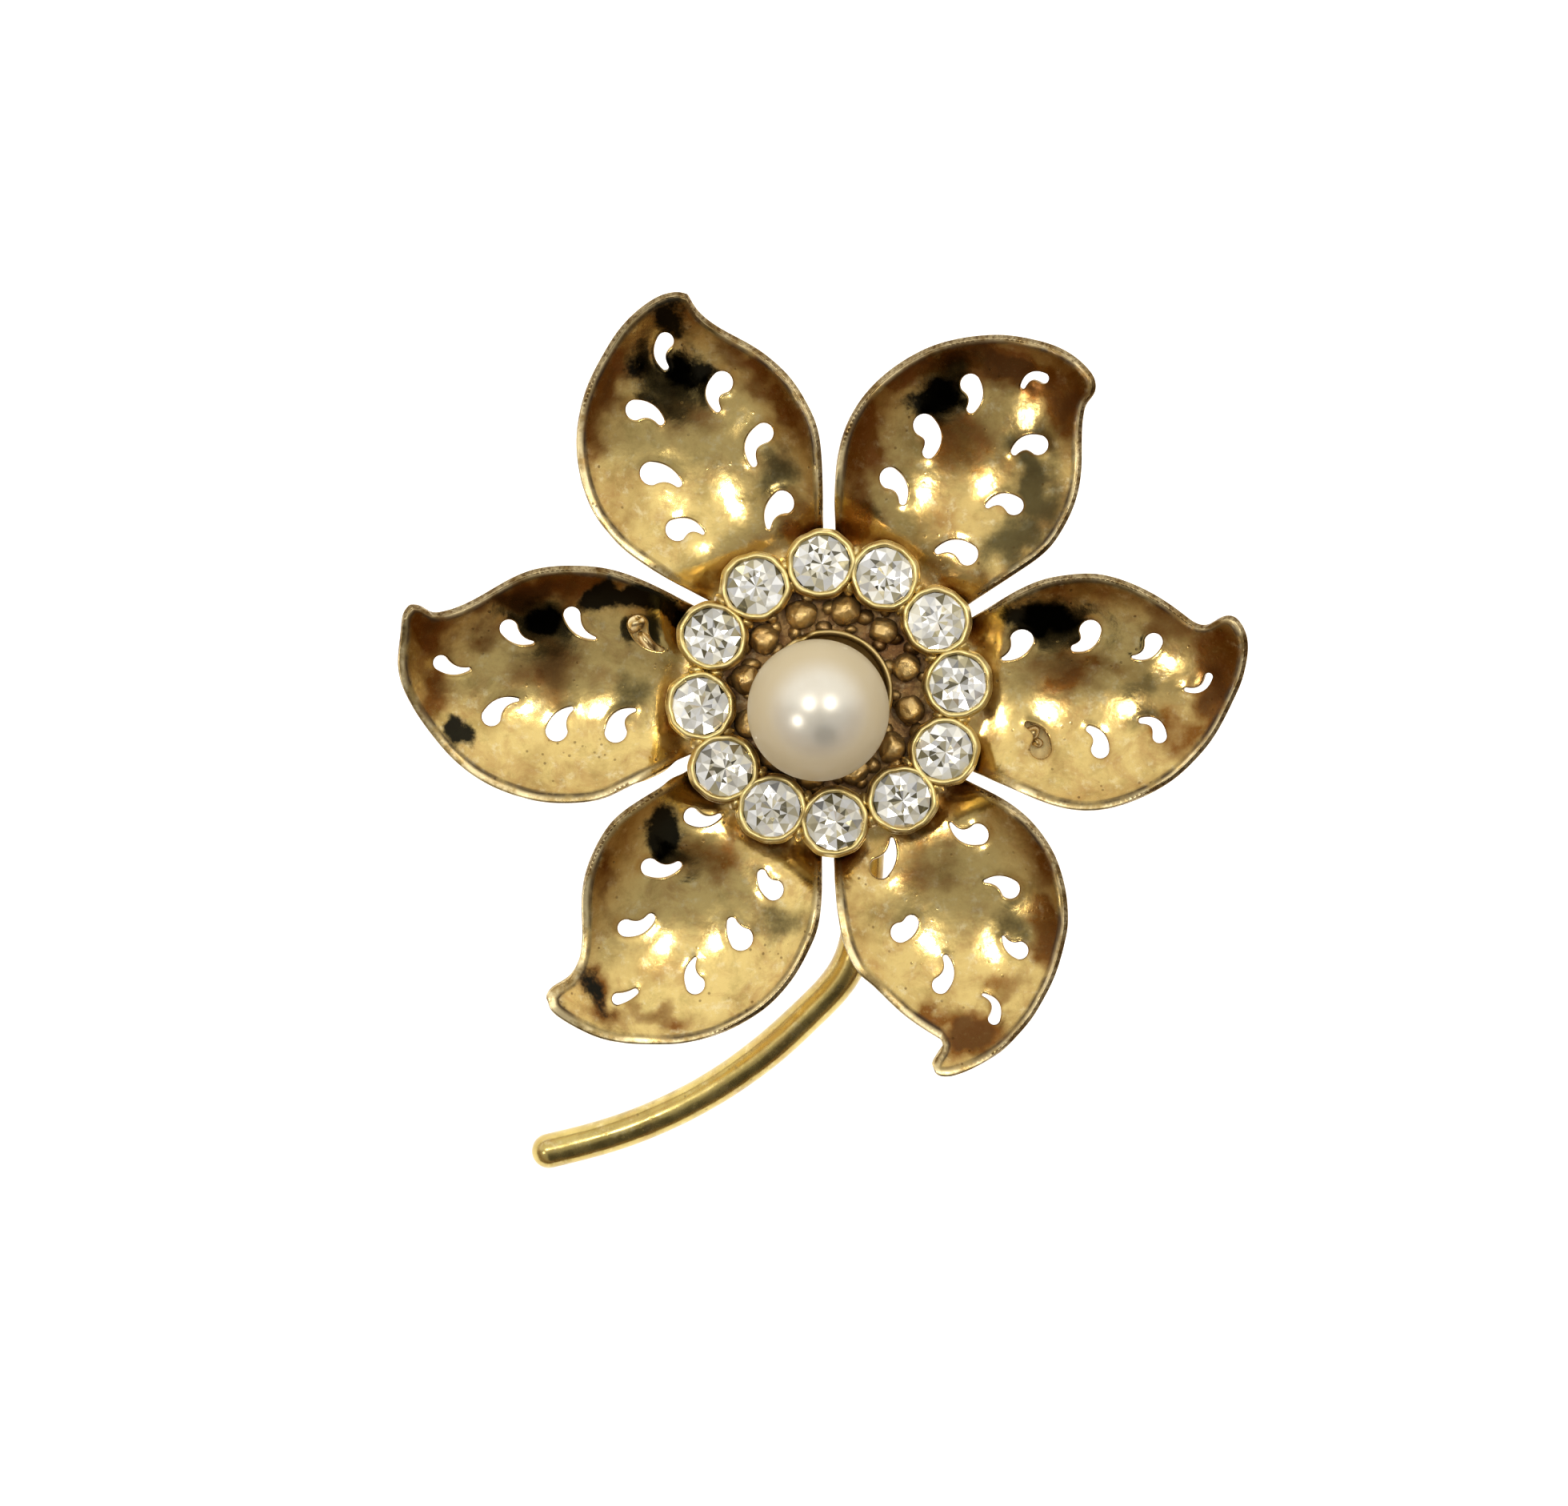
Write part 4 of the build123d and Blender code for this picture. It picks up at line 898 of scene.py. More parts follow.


# Where the gilding has browned or gone dull on each petal, and where the dim
# room is painted in as a black reflection: x, y from the petal's middle, half
# lengths, turn, strength, and 0 for brown, 1 for black (mostly a painted dark
# reflection in the petal's upper part, a few blackened spots lower down) or 2
# for a dull olive.
STAINS_AND_DARK_REFLECTIONS = {
    "petal_right": [
        (-1.2, 1.4, 2.4, 1.5, 0, 1.0, 0), (8.2, 0.0, 1.4, 3.6, 0, 1.1, 0),
        (5.8, -2.9, 1.7, 1.7, 30, 0.8, 0), (3.5, -0.6, 1.1, 1.5, 0, 0.8, 2),
        (-6.3, 4.0, 1.2, 1.4, 0, 0.6, 0), (5.4, 4.6, 2.6, 0.8, -25, 0.75, 0),
        (-2.7, 4.8, 2.3, 1.2, -8, 1.0, 1)],
    "petal_upper_right": [
        (0.0, 1.9, 2.7, 1.9, 0, 0.95, 0), (3.6, 6.4, 4.0, 1.1, -25, 1.2, 0),
        (-2.5, 6.7, 2.8, 0.8, 20, 1.0, 0), (7.0, 4.0, 1.2, 1.9, 0, 1.1, 0),
        (5.0, -0.7, 1.3, 3.6, 8, 1.25, 2), (-6.0, 1.9, 1.3, 2.5, 0, 0.8, 0),
        (-6.3, -2.2, 1.0, 2.4, 0, 0.85, 0), (-1.5, 4.6, 1.9, 1.0, 14, 1.0, 1),
        (3.7, -4.3, 2.2, 1.5, 40, 1.1, 2)],
    "petal_upper_left": [
        (-0.9, 6.3, 1.9, 1.0, -12, 1.0, 1), (-2.0, 9.6, 1.2, 1.3, 0, 0.8, 1),
        (-4.0, 6.8, 1.2, 0.8, 45, 0.7, 1), (-0.9, 3.7, 1.8, 1.2, 0, 0.75, 0),
        (-5.9, 5.3, 1.0, 2.8, -25, 1.0, 0), (-6.9, 2.4, 0.8, 2.0, 0, 0.8, 0),
        (3.6, 5.8, 4.4, 0.8, -48, 0.85, 0), (5.1, 0.1, 1.1, 1.4, 0, 1.0, 2),
        (5.9, -2.6, 1.0, 1.4, 0, 0.75, 0)],
    "petal_left": [
        (-1.9, 4.5, 1.3, 1.0, 0, 1.0, 1), (1.7, 6.1, 1.5, 0.85, 30, 1.1, 1),
        (4.1, 6.1, 2.1, 0.68, -12, 1.1, 1), (6.3, 5.0, 1.4, 0.62, -38, 1.1, 1),
        (-1.5, 1.5, 2.0, 2.1, 0, 1.05, 0), (-3.1, 6.2, 4.3, 0.9, 12, 1.2, 0),
        (-5.6, 3.7, 1.6, 1.1, 20, 0.8, 0), (3.6, -0.4, 1.3, 1.5, 0, 0.8, 2),
        (-8.8, 4.2, 1.2, 1.3, 0, 1.0, 0), (-8.6, 0.3, 0.9, 2.4, -15, 0.95, 0),
        (-7.3, -2.55, 0.82, 0.98, 15, 1.0, 1)],
    "petal_lower_left": [
        (-2.4, 5.3, 1.1, 1.7, 0, 1.0, 1), (0.7, 3.5, 2.3, 1.2, 0, 0.8, 0),
        (-6.6, -5.1, 0.9, 2.0, 32, 1.2, 0), (-6.8, -4.9, 0.7, 1.7, 32, 0.8, 1),
        (-3.0, -6.5, 2.6, 0.6, -5, 0.9, 0), (5.1, -0.6, 1.8, 1.1, 10, 0.8, 2),
        (-5.9, 2.1, 0.5, 2.2, 0, 0.6, 0), (4.6, 5.4, 1.4, 1.0, 0, 0.6, 0)],
    "petal_lower_right": [
        (-2.2, 2.7, 2.1, 1.3, 0, 0.65, 0), (5.9, -1.8, 0.9, 3.2, 10, 1.0, 0),
        (3.6, -0.5, 1.1, 1.3, 0, 0.8, 2), (0.9, -7.6, 2.0, 1.3, 0, 1.4, 0),
        (-1.7, -6.4, 1.3, 0.9, 0, 0.8, 0), (3.1, -4.6, 1.6, 0.8, 45, 0.8, 0),
        (5.5, 3.2, 0.8, 2.2, -15, 0.6, 0)],
}
TONE = {"petal_right": 0.08, "petal_upper_right": 0.22, "petal_upper_left": 0.02,
        "petal_left": 0.0, "petal_lower_left": -0.04, "petal_lower_right": 0.10}


# kind 1 gives the black marks, mostly a painted dark reflection of the dim room
def stain(name, px, py, kind):
    out = np.zeros(len(px))
    warp = 0.24 if kind == 1 else 0.45
    wx = warp * ripple(px, py, 2.6, SEEDS[name] + 7) + 0.14 * ripple(px, py, 0.9, SEEDS[name] + 8)
    wy = warp * ripple(px, py, 2.6, SEEDS[name] + 9) + 0.14 * ripple(px, py, 0.9, SEEDS[name] + 10)
    for x, y, rx, ry, rot, power, k in STAINS_AND_DARK_REFLECTIONS[name]:
        if k != kind:
            continue
        a = math.radians(rot)
        dx, dy = px - x + wx, py - y + wy
        q = (((dx * math.cos(a) + dy * math.sin(a)) / rx) ** 2
             + ((-dx * math.sin(a) + dy * math.cos(a)) / ry) ** 2)
        out = np.maximum(out, power * np.exp(-(0.75 * q) ** 1.4))
    return out


def mesh_normals(v, f):
    """Area-weighted normals of a triangle mesh's points."""
    a, b, c = v[f[:, 0]], v[f[:, 1]], v[f[:, 2]]
    n = np.cross(b - a, c - a)
    out = np.zeros_like(v)
    for k in range(3):
        np.add.at(out, f[:, k], n)
    return out / np.maximum(np.linalg.norm(out, axis=1), 1e-12)[:, None]


def make_petal(name, data):
    outer = []
    for run in corner_runs(data["edge"]):
        s = natural_spline(run, 0.16)
        outer.append(s[:-1])
    a = polar(4.55, data["turn"] + 23.5)
    b = polar(4.55, data["turn"] - 23.5)
    e0, e1 = np.array(data["edge"][0]), np.array(data["edge"][-1])
    for p, q in ((e1, a), (a, b), (b, e0)):
        outer.append(natural_spline([p, q], 0.4)[:-1])
    outer = even(np.vstack(outer), 0.16)
    holes = [comma_loop(*c) for c in data["commas"]]
    step = 0.27
    v, f, marks = triangulate(outer, holes, step, rows=(0.09, 0.20, 0.29, 0.365, 0.44, 0.54))
    loops = boundary_loops(f)

    turn = math.radians(data["turn"])
    cu, su = math.cos(turn), math.sin(turn)
    x, y = v[:, 0], v[:, 1]
    hole_d = np.full(len(v), 9.0)
    for h in holes:
        hole_d = np.minimum(hole_d, distance(v, h))
    rim_d = distance(v, outer)

    def base(px, py):
        u, w = px * cu + py * su, -px * su + py * cu
        z, rho = dish_height(data["rim"], u, w)
        amp = smoothstep((np.hypot(px, py) - 9.5) / 4.0)
        return z + amp * (0.030 * ripple(px, py, 7.5, SEEDS[name])
                          + 0.005 * ripple(px, py, 2.8, SEEDS[name] + 1)), rho

    z, rho = base(x, y)
    amp = smoothstep((np.hypot(x, y) - 9.5) / 4.0)
    # a narrow lip: the last half millimetre is bent back towards level
    e = 0.03
    sx = (base(x + e, y)[0] - z) / e
    sy = (base(x, y + e)[0] - z) / e
    gx = (distance(v + [e, 0], outer) - rim_d) / e
    gy = (distance(v + [0, e], outer) - rim_d) / e
    slope = np.maximum(-(sx * gx + sy * gy), 0.0)
    lip = 0.335 + 0.05 * ripple(x, y, 8.0, SEEDS[name] + 5)
    near = np.maximum(lip - rim_d, 0.0)
    z = z - 0.88 * near * slope * smoothstep((np.hypot(x, y) - 10.4) / 1.5)
    # the punch has drawn the metal down a little round each piercing
    z = z - 0.05 * np.exp(-(hole_d / 0.30) ** 2) * amp
    n = len(v)
    bot = np.c_[v, PETAL_Z0 + z]
    nrm = mesh_normals(bot, f)
    # thicker under the crown, where the petals are soldered up
    thick = (SHEET + 0.18 * (1 - smoothstep((np.hypot(x, y) - 8.6) / 1.6)))[:, None]
    top = bot + nrm * thick
    verts = [top, bot]
    faces = [tuple(t) for t in f] + [(int(a) + n, int(c) + n, int(b) + n)
                                     for a, b, c in f]
    cx, cy = DISH_CENTRE * cu, DISH_CENTRE * su
    far = smoothstep((np.hypot(x, y) - 10.0) / 3.0)
    # painted shade along the line inside the lip
    crease_shade = np.exp(-((rim_d - lip - 0.03) / 0.085) ** 2) * far
    base_attrs = {
        # painted dark reflection: the rim and upper marks brown the dish walls, most on each petal's upper side
        "rim": smoothstep((rho - 0.72) / 0.30) * smoothstep((np.hypot(x, y) - 10.0) / 4.0),
        "hole": np.exp(-(hole_d / 0.12) ** 2),
        # painted shade on the petal beside and under the crown
        "nook": 0.55 - 0.55 * smoothstep((np.hypot(x, y) - 10.0) / 1.6),
        "stain": stain(name, x - cx, y - cy, 0),
        # painted dark reflection, nearly black, in the upper part of most petals
        "dark_reflection_and_soot": stain(name, x - cx, y - cy, 1),
        "olive": stain(name, x - cx, y - cy, 2),
        "upper": smoothstep((y - cy) / 3.0),
        "lip": smoothstep((lip - rim_d + 0.04) / 0.10) * far,
        "crease_shade": crease_shade,
        "tone": np.full(n, TONE[name]),
        "edge": np.exp(-(rim_d / 0.05) ** 2) * 0.2,
        "cut": np.zeros(n),
    }
    # the under side keeps less of the face's stains, dull patches, lip colour and painted crease shade, and none of
    # its painted dark reflection
    under = {"stain": 0.30, "dark_reflection_and_soot": 0.0, "olive": 0.25, "crease_shade": 0.25, "lip": 0.3}
    attrs = {key: [val, val * under.get(key, 1.0)] for key, val in base_attrs.items()}
    k = 2 * n
    bulge = 0.03
    for lp in loops:
        p = v[lp]
        t = np.roll(p, -1, axis=0) - np.roll(p, 1, axis=0)
        t /= np.maximum(np.linalg.norm(t, axis=1), 1e-9)[:, None]
        out = np.c_[t[:, 1], -t[:, 0], np.zeros(len(lp))]
        m = len(lp)
        is_rim = len(lp) > 200
        rows = [np.array(lp)]
        for w, o in ((0.86, 0.75), (0.5, 1.0), (0.14, 0.75)):
            rows.append(np.arange(k, k + m))
            q = bot[lp] + nrm[lp] * thick[lp] * w + out * bulge * o
            verts.append(q)
            for key, val in base_attrs.items():
                if key == "edge":
                    val = np.full(n, 0.10 if is_rim else 0.30)
                elif key == "cut":
                    val = np.full(n, 1.0 if is_rim else 0.35)
                # painted shade on the walls of the piercings, none on the outer cut edge
                elif key == "crease_shade":
                    val = np.full(n, 0.0 if is_rim else 0.5)
                attrs[key].append(val[lp])
            k += m
        rows.append(np.array(lp) + n)
        for r0, r1 in zip(rows[:-1], rows[1:]):
            for i in range(m):
                j = (i + 1) % m
                faces.append((r0[i], r1[i], r1[j], r0[j]))
    ob = make_object(name.replace("petal", "leaf"), np.vstack(verts), faces,
                     {key: np.concatenate(val) for key, val in attrs.items()},
                     offset=(AX, AY, 0))
    return finish_piece(ob, "petal", ROOT, [name])


for _name, _data in PETALS.items():
    make_petal(_name, _data)


# ---------------------------------------------------------------------------
# Crown of bezel cups, stones, granules
# ---------------------------------------------------------------------------
STONE_RING_R = 8.04
STONE_ANGLES = (4, 33.7, 64.5, 93.5, 124.7, 154.2,
                186, 215.7, 243.7, 272.5, 304.5, 333)
BEAD_RING_R = 5.20
BEAD_R = 1.03
BEAD_ANGLES = (19, 49, 79, 109, 139.5, 170, 201, 229.7, 258, 289, 319, 348.5)


def make_crown():
    parts = []
    rng = np.random.RandomState(5)
    for i, a in enumerate(STONE_ANGLES):
        cx, cy = polar(STONE_RING_R, a)
        top = CUP_Z1 - 0.02 - 0.05 * rng.rand()
        ph, amp = rng.uniform(0, 6.28), 0.016 + 0.012 * rng.rand()

        def wob(ang, z, ph=ph, amp=amp):
            return (amp * np.sin(2 * ang + ph) + 0.6 * amp * np.sin(5 * ang + 2 * ph)
                    + 0.4 * amp * np.sin(11 * ang + 3 * ph))

        prof = [(0, CUP_Z0 + 0.02), (1.85, CUP_Z0 + 0.02), (2.02, CUP_Z0 + 0.10),
                (2.10, CUP_Z0 + 0.35), (2.12, CUP_Z0 + 1.02), (2.17, CUP_Z0 + 1.16),
                (2.22, CUP_Z0 + 1.24), (2.25, CUP_Z0 + 1.32), (2.22, CUP_Z0 + 1.40),
                (2.17, CUP_Z0 + 1.44), (2.12, CUP_Z0 + 1.52), (2.12, top - 0.42),
                (2.11, top - 0.20), (2.07, top - 0.07), (1.99, top - 0.01),
                (1.92, top), (1.85, top - 0.03), (1.79, top - 0.10),
                (1.765, top - 0.20), (1.77, top - 0.34), (1.815, top - 0.40),
                (1.815, top - 0.62), (1.66, 9.05), (0.88, 8.22), (0.12, 7.42),
                (0, 7.40)]
        v, f = lathe(prof, 88, (cx, cy), wob)
        r = np.hypot(v[:, 0] - cx, v[:, 1] - cy)
        ang = np.arctan2(v[:, 1] - cy, v[:, 0] - cx)
        v[:, 2] += 0.035 * (np.sin(3 * ang + ph) + 0.7 * np.sin(7 * ang + 2.3 * ph) - 1.7) * (
            (v[:, 2] > top - 0.45) & (r > 1.7))
        # painted shade low in each cup and on its inner side
        low = 1.0 - smoothstep((v[:, 2] - CUP_Z0) / 1.9)
        inward = smoothstep((STONE_RING_R - 0.6 - np.hypot(v[:, 0], v[:, 1])) / 1.3)
        nook = np.clip(low * 0.8 + inward * 0.55 * (v[:, 2] < CUP_Z1 - 0.3), 0, 1)
        edge = np.where((v[:, 2] > top - 0.22) & (r > 1.82), 0.65, 0.0)
        edge = np.where((r > 2.19) & (v[:, 2] > CUP_Z0 + 1.2), 0.6, edge)
        parts.append((v, f, {"nook": nook, "edge": edge}))
    z0, z1 = CUP_Z0 + 0.02, CUP_Z0 + 1.38
    ring = [(7.24, z0), (8.86, z0), (8.88, z0 + 0.3), (8.88, z1 - 0.25),
            (8.78, z1 - 0.06), (8.6, z1), (7.5, z1), (7.33, z1 - 0.06), (7.24, z1 - 0.2)]
    v, f = lathe(ring, 160)
    # painted shade on the web between and under the cups
    parts.append((v, f, {"nook": np.full(len(v), 0.75)}))
    # solder in the notches where two cups meet
    for i, a in enumerate(STONE_ANGLES):
        b = STONE_ANGLES[(i + 1) % 12]
        b = b + 360 if b < a else b
        gap = math.radians((b - a) / 2)
        m = math.radians((a + b) / 2)
        spread = STONE_RING_R * math.sin(gap)
        for sign in (-1, 1):
            p, f = blob(1.0, 500 + 2 * i + sign, 4, sub=3)
            # where the notch is as wide as the drop of solder
            t = sign * (math.sqrt(max(2.12 ** 2 - (spread - 0.10) ** 2, 0.2)) + 0.12)
            p = p * [0.52 + 0.1 * rng.rand(), 0.36 + 0.06 * rng.rand(), 0.95]
            d = STONE_RING_R * math.cos(gap) + t
            top = CUP_Z1 - 0.22 - 0.14 * rng.rand() - (0.15 if sign < 0 else 0.0)
            q = np.c_[p[:, 0] * math.cos(m) - p[:, 1] * math.sin(m) + d * math.cos(m),
                      p[:, 0] * math.sin(m) + p[:, 1] * math.cos(m) + d * math.sin(m),
                      p[:, 2] + top - 0.95]
            # slight painted shade on the solder in the notches
            parts.append((q, f, {"nook": np.full(len(q), 0.10), "edge": np.full(len(q), 0.25)}))
    v, f, at = merge(parts)
    ob = make_object("crown", v, f, at, offset=(AX, AY, 0), sharp_deg=50)
    return finish_piece(ob, "crown", ROOT, ["crown_ring"])


def make_stone(i, angle):
    """Pointed-back chaton: octagonal table, eight kites and sixteen girdle
    facets above, eight and eight facets to the point below.  The foiled
    facets behind show through the top as a star of shards, so each piece of
    the top carries the slope of the shard seen in it, and a painted
    brightness, nearly black to white, that stands in for the sparkle of light
    in that shard."""
    rng = np.random.RandomState(100 + i)
    cx, cy = polar(STONE_RING_R, angle)
    turn = rng.uniform(0, 45)
    seat, girdle = STONE_Z0 + 1.65, 0.12
    r_g, r_t = 1.775, 1.00 + 0.06 * rng.rand()
    tz = STONE_Z1 - 0.01 - 0.03 * rng.rand()
    gz = seat + girdle

    def ring(r, z, n, off=0.0, wob=0.0):
        out = []
        for k in range(n):
            a = math.radians(turn + off + 360.0 * k / n + wob * rng.uniform(-9, 9))
            q = r * (1 + wob * rng.uniform(-0.22, 0.22))
            out.append((q * math.cos(a), q * math.sin(a), z))
        return out

    low = ring(r_g, seat, 16)
    high = ring(r_g, gz, 16)
    star = ring((r_g + r_t) / 2 + 0.06, gz + (tz - gz) * 0.56, 8, 22.5)
    table = ring(r_t, tz, 8)
    mid = ring(0.80, seat - 0.94, 8, 22.5)
    half = [tuple((np.array(table[k]) + table[(k + 1) % 8]) / 2) for k in range(8)]
    inner = ring(0.62, tz, 16, rng.uniform(0, 12), 0.8)
    v = low + high + star + table + mid + half + inner + [(0, 0, STONE_Z0 + 0.02),
                                                          (0.05, -0.04, tz)]
    L, G, S, T, M, H, I, P, C = 0, 16, 32, 40, 48, 56, 64, 80, 81
    faces, slots = [], []
    for k in range(8):
        k1 = (k + 1) % 8
        g0, g1, g2 = G + 2 * k, G + 2 * k + 1, G + (2 * k + 2) % 16
        i0, i1, i2 = I + 2 * k, I + 2 * k + 1, I + (2 * k + 2) % 16
        top = [(T + k, S + k, H + k), (H + k, S + k, T + k1), (T + k, g0, S + k),
               (S + k, g0, g1), (S + k, g1, g2), (S + k, g2, T + k1),
               (C, i0, i1), (C, i1, i2), (i0, T + k, H + k), (i0, H + k, i1),
               (i1, H + k, T + k1), (i1, T + k1, i2)]
        faces += top
        slots += [0] * len(top)
    for j in range(16):
        k = (j + 1) % 16
        faces.append((L + j, L + k, G + k, G + j))
        slots.append(0)
    for k in range(8):
        k1 = (k + 1) % 8
        l0, l1, l2 = L + 2 * k, L + 2 * k + 1, L + (2 * k + 2) % 16
        back = [(l1, l0, M + k), (l2, l1, M + k), (l2, M + k, M + k1),
                (P, M + k1, M + k)]
        faces += back
        slots += [1] * len(back)
    tilt = Matrix.Rotation(math.radians(rng.uniform(-2.5, 2.5)), 3, "X") @ \
        Matrix.Rotation(math.radians(rng.uniform(-2.5, 2.5)), 3, "Y")
    c = Vector((0, 0, seat))
    pts = []
    for p in v:
        q = tilt @ (Vector(p) - c) + c
        pts.append((q.x + cx, q.y + cy, q.z))
    ob = make_object("stone_%02d" % i, pts, faces, smooth=False, offset=(AX, AY, 0))
    ob.data.polygons.foreach_set("material_index", slots)
    shard, tone = [], []
    for f, slot in zip(faces, slots):
        m = np.mean([v[k] for k in f], axis=0)
        az = math.atan2(m[1], m[0]) + rng.normal(0, 0.9) + (math.pi if rng.rand() < 0.5 else 0)
        t = math.radians(abs(rng.normal(0, 11.0)) + 1.5)
        shard += [math.sin(t) * math.cos(az), math.sin(t) * math.sin(az), math.cos(t)]
        # painted sparkle: a few shards nearly black, the rest grey to white
        tone.append(-0.6 if rng.rand() < 0.07 else rng.beta(1.0, 0.75))
    layer = ob.data.attributes.new("shard", "FLOAT_VECTOR", "FACE")
    layer.data.foreach_set("vector", np.array(shard, np.float32))
    layer = ob.data.attributes.new("tone", "FLOAT", "FACE")
    layer.data.foreach_set("value", np.array(tone, np.float32))
    return finish_piece(ob, ["glass", "foil"], ROOT, ["chaton_%02d" % i])


def blob(radius, seed, dents, cz_min=None, sub=4):
    """Ball with small flats and dents, as verts and faces."""
    bm = bmesh.new()
    bmesh.ops.create_icosphere(bm, subdivisions=sub, radius=1.0)
    bm.verts.ensure_lookup_table()
    p = np.array([v.co[:] for v in bm.verts])
    f = [[v.index for v in g.verts] for g in bm.faces]
    bm.free()
    rng = np.random.RandomState(seed)
    d = np.ones(len(p))
    for _ in range(dents):
        a = rng.normal(size=3)
        a /= np.linalg.norm(a)
        c = rng.uniform(0.72, 0.9)
        h = p @ a
        d = np.where(h > c, np.minimum(d, c / np.maximum(h, 1e-6) * 0.6 + 0.4), d)
    d *= 1 + 0.03 * (np.sin(3 * p[:, 0] + seed) * np.sin(4 * p[:, 1] + 2 * seed))
    return p * (d * radius)[:, None], f


def make_bead_plate():
    z0, z1 = BEAD_PLATE_Z0 + 0.01, BEAD_PLATE_Z0 + 0.6
    prof = [(0.82, z0), (8.05, z0), (8.16, z0 + 0.08), (8.18, z0 + 0.3),
            (8.15, z1 - 0.08), (8.05, z1 - 0.01), (7.0, z1), (6.3, z1 + 0.02),
            (4.4, z1 + 0.02), (0.82, z1)]
    v, f = lathe(prof, 128)
    # painted shade over the whole floor between the granules
    parts = [(v, f, {"nook": np.full(len(v), 1.0)})]
    rng = np.random.RandomState(9)
    for i, a in enumerate(BEAD_ANGLES):
        x, y = polar(BEAD_RING_R + rng.uniform(-0.08, 0.08), a + rng.uniform(-0.8, 0.8))
        r = BEAD_R * rng.uniform(0.95, 1.0)
        p, f = blob(r, 300 + i, 15, sub=4)
        p = p * rng.uniform(0.92, 1.06, 3)
        p = p + 0.035 * ripple(p[:, 0] + p[:, 2], p[:, 1] - p[:, 2], 0.55, 40 + i)[:, None] * p
        p = p + [x, y, BEAD_TOP_Z - BEAD_R - 0.10]
        # painted shade on the lower part of each granule
        low = 1 - smoothstep((p[:, 2] - (BEAD_TOP_Z - 1.3)) / 1.0)
        parts.append((p, f, {"nook": low * 0.9}))
    # smaller crumbs of solder and metal between and around them
    for i in range(46):
        ang = 360.0 * i / 46 + rng.uniform(-4, 4)
        where = (4.25, 6.05, 5.2)[i % 3] + rng.uniform(-0.18, 0.18)
        x, y = polar(where, ang)
        r = rng.uniform(0.30, 0.62)
        p, f = blob(r, 900 + i, 9, sub=2)
        p = p * rng.uniform(0.8, 1.25, 3) + [x, y, z1 + rng.uniform(0.02, 0.35)]
        parts.append((p, f, {"nook": np.full(len(p), rng.uniform(0.0, 0.9))}))
    v, f, at = merge(parts)
    ob = make_object("granules", v, f, at, offset=(AX, AY, 0), sharp_deg=60)
    return finish_piece(ob, "bead", ROOT, ["bead_plate"])


make_crown()
for _i, _a in enumerate(STONE_ANGLES, start=1):
    make_stone(_i, _a)
make_bead_plate()


# ---------------------------------------------------------------------------
# Hub plate, pearl cup, peg and pearl
# ---------------------------------------------------------------------------
def make_hub():
    z0, z1, zb = HUB_Z0 + 0.01, HUB_Z0 + 0.79, HUB_BOSS_Z - 0.01
    prof = [(0.82, z0), (7.3, z0), (7.44, z0 + 0.06), (7.49, z0 + 0.2),
            (7.49, z1 - 0.2), (7.44, z1 - 0.06), (7.3, z1), (4.05, z1),
            (3.98, z1 + 0.05), (3.98, zb - 0.05), (3.9, zb), (0.82, zb)]
    v, f = lathe(prof, 128)
    ob = make_object("hub", v, f, {"edge": (np.hypot(v[:, 0], v[:, 1]) > 7.4) * 0.6},
                     offset=(AX, AY, 0), sharp_deg=50)
    return finish_piece(ob, "back", ROOT, ["hub_plate"])


def make_cup():
    zb, zt = 7.22, PEARL_CUP_Z1
    r = PEARL_CUP_R - 0.02
    prof = [(0, HUB_Z0 + 0.02), (0.74, HUB_Z0 + 0.02), (0.79, HUB_Z0 + 0.08), (0.79, zb),
            (r - 0.65, zb), (r - 0.25, zb + 0.10), (r - 0.06, zb + 0.36), (r, zb + 0.7),
            (r, zt - 0.16), (r - 0.06, zt - 0.04), (r - 0.16, zt),
            (r - 0.28, zt - 0.02), (r - 0.36, zt - 0.12), (r - 0.38, zt - 0.4),
            (r - 0.46, 7.9), (r - 0.9, 7.72), (0.45, 7.70), (0.42, 7.6), (0.42, 6.42),
            (0, 6.41)]

    def wob(ang, z):
        return (0.006 * np.sin(3 * ang + 1.0) * (z > 8.2)
                - 0.035 * np.exp(-((ang - 2.0) / 0.09) ** 2) * (z > 8.4))

    v, f = lathe(prof, 160, (0, 0), wob)
    # a nick in the rim
    ang = np.arctan2(v[:, 1], v[:, 0])
    nick = np.exp(-((ang - 2.0) / 0.10) ** 2) * (v[:, 2] > zt - 0.5) * (
        np.hypot(v[:, 0], v[:, 1]) > r - 0.6)
    v[:, 2] -= 0.35 * nick
    # painted shade low in the cup, under the pearl
    low = 1 - smoothstep((v[:, 2] - 7.2) / 1.2)
    edge = ((v[:, 2] > zt - 0.15) & (np.hypot(v[:, 0], v[:, 1]) > r - 0.4)) * 0.8
    ob = make_object("pearl_seat", v, f, {"nook": low, "edge": edge}, offset=(AX, AY, 0),
                     sharp_deg=55)
    return finish_piece(ob, "cup", ROOT, ["pearl_cup"])


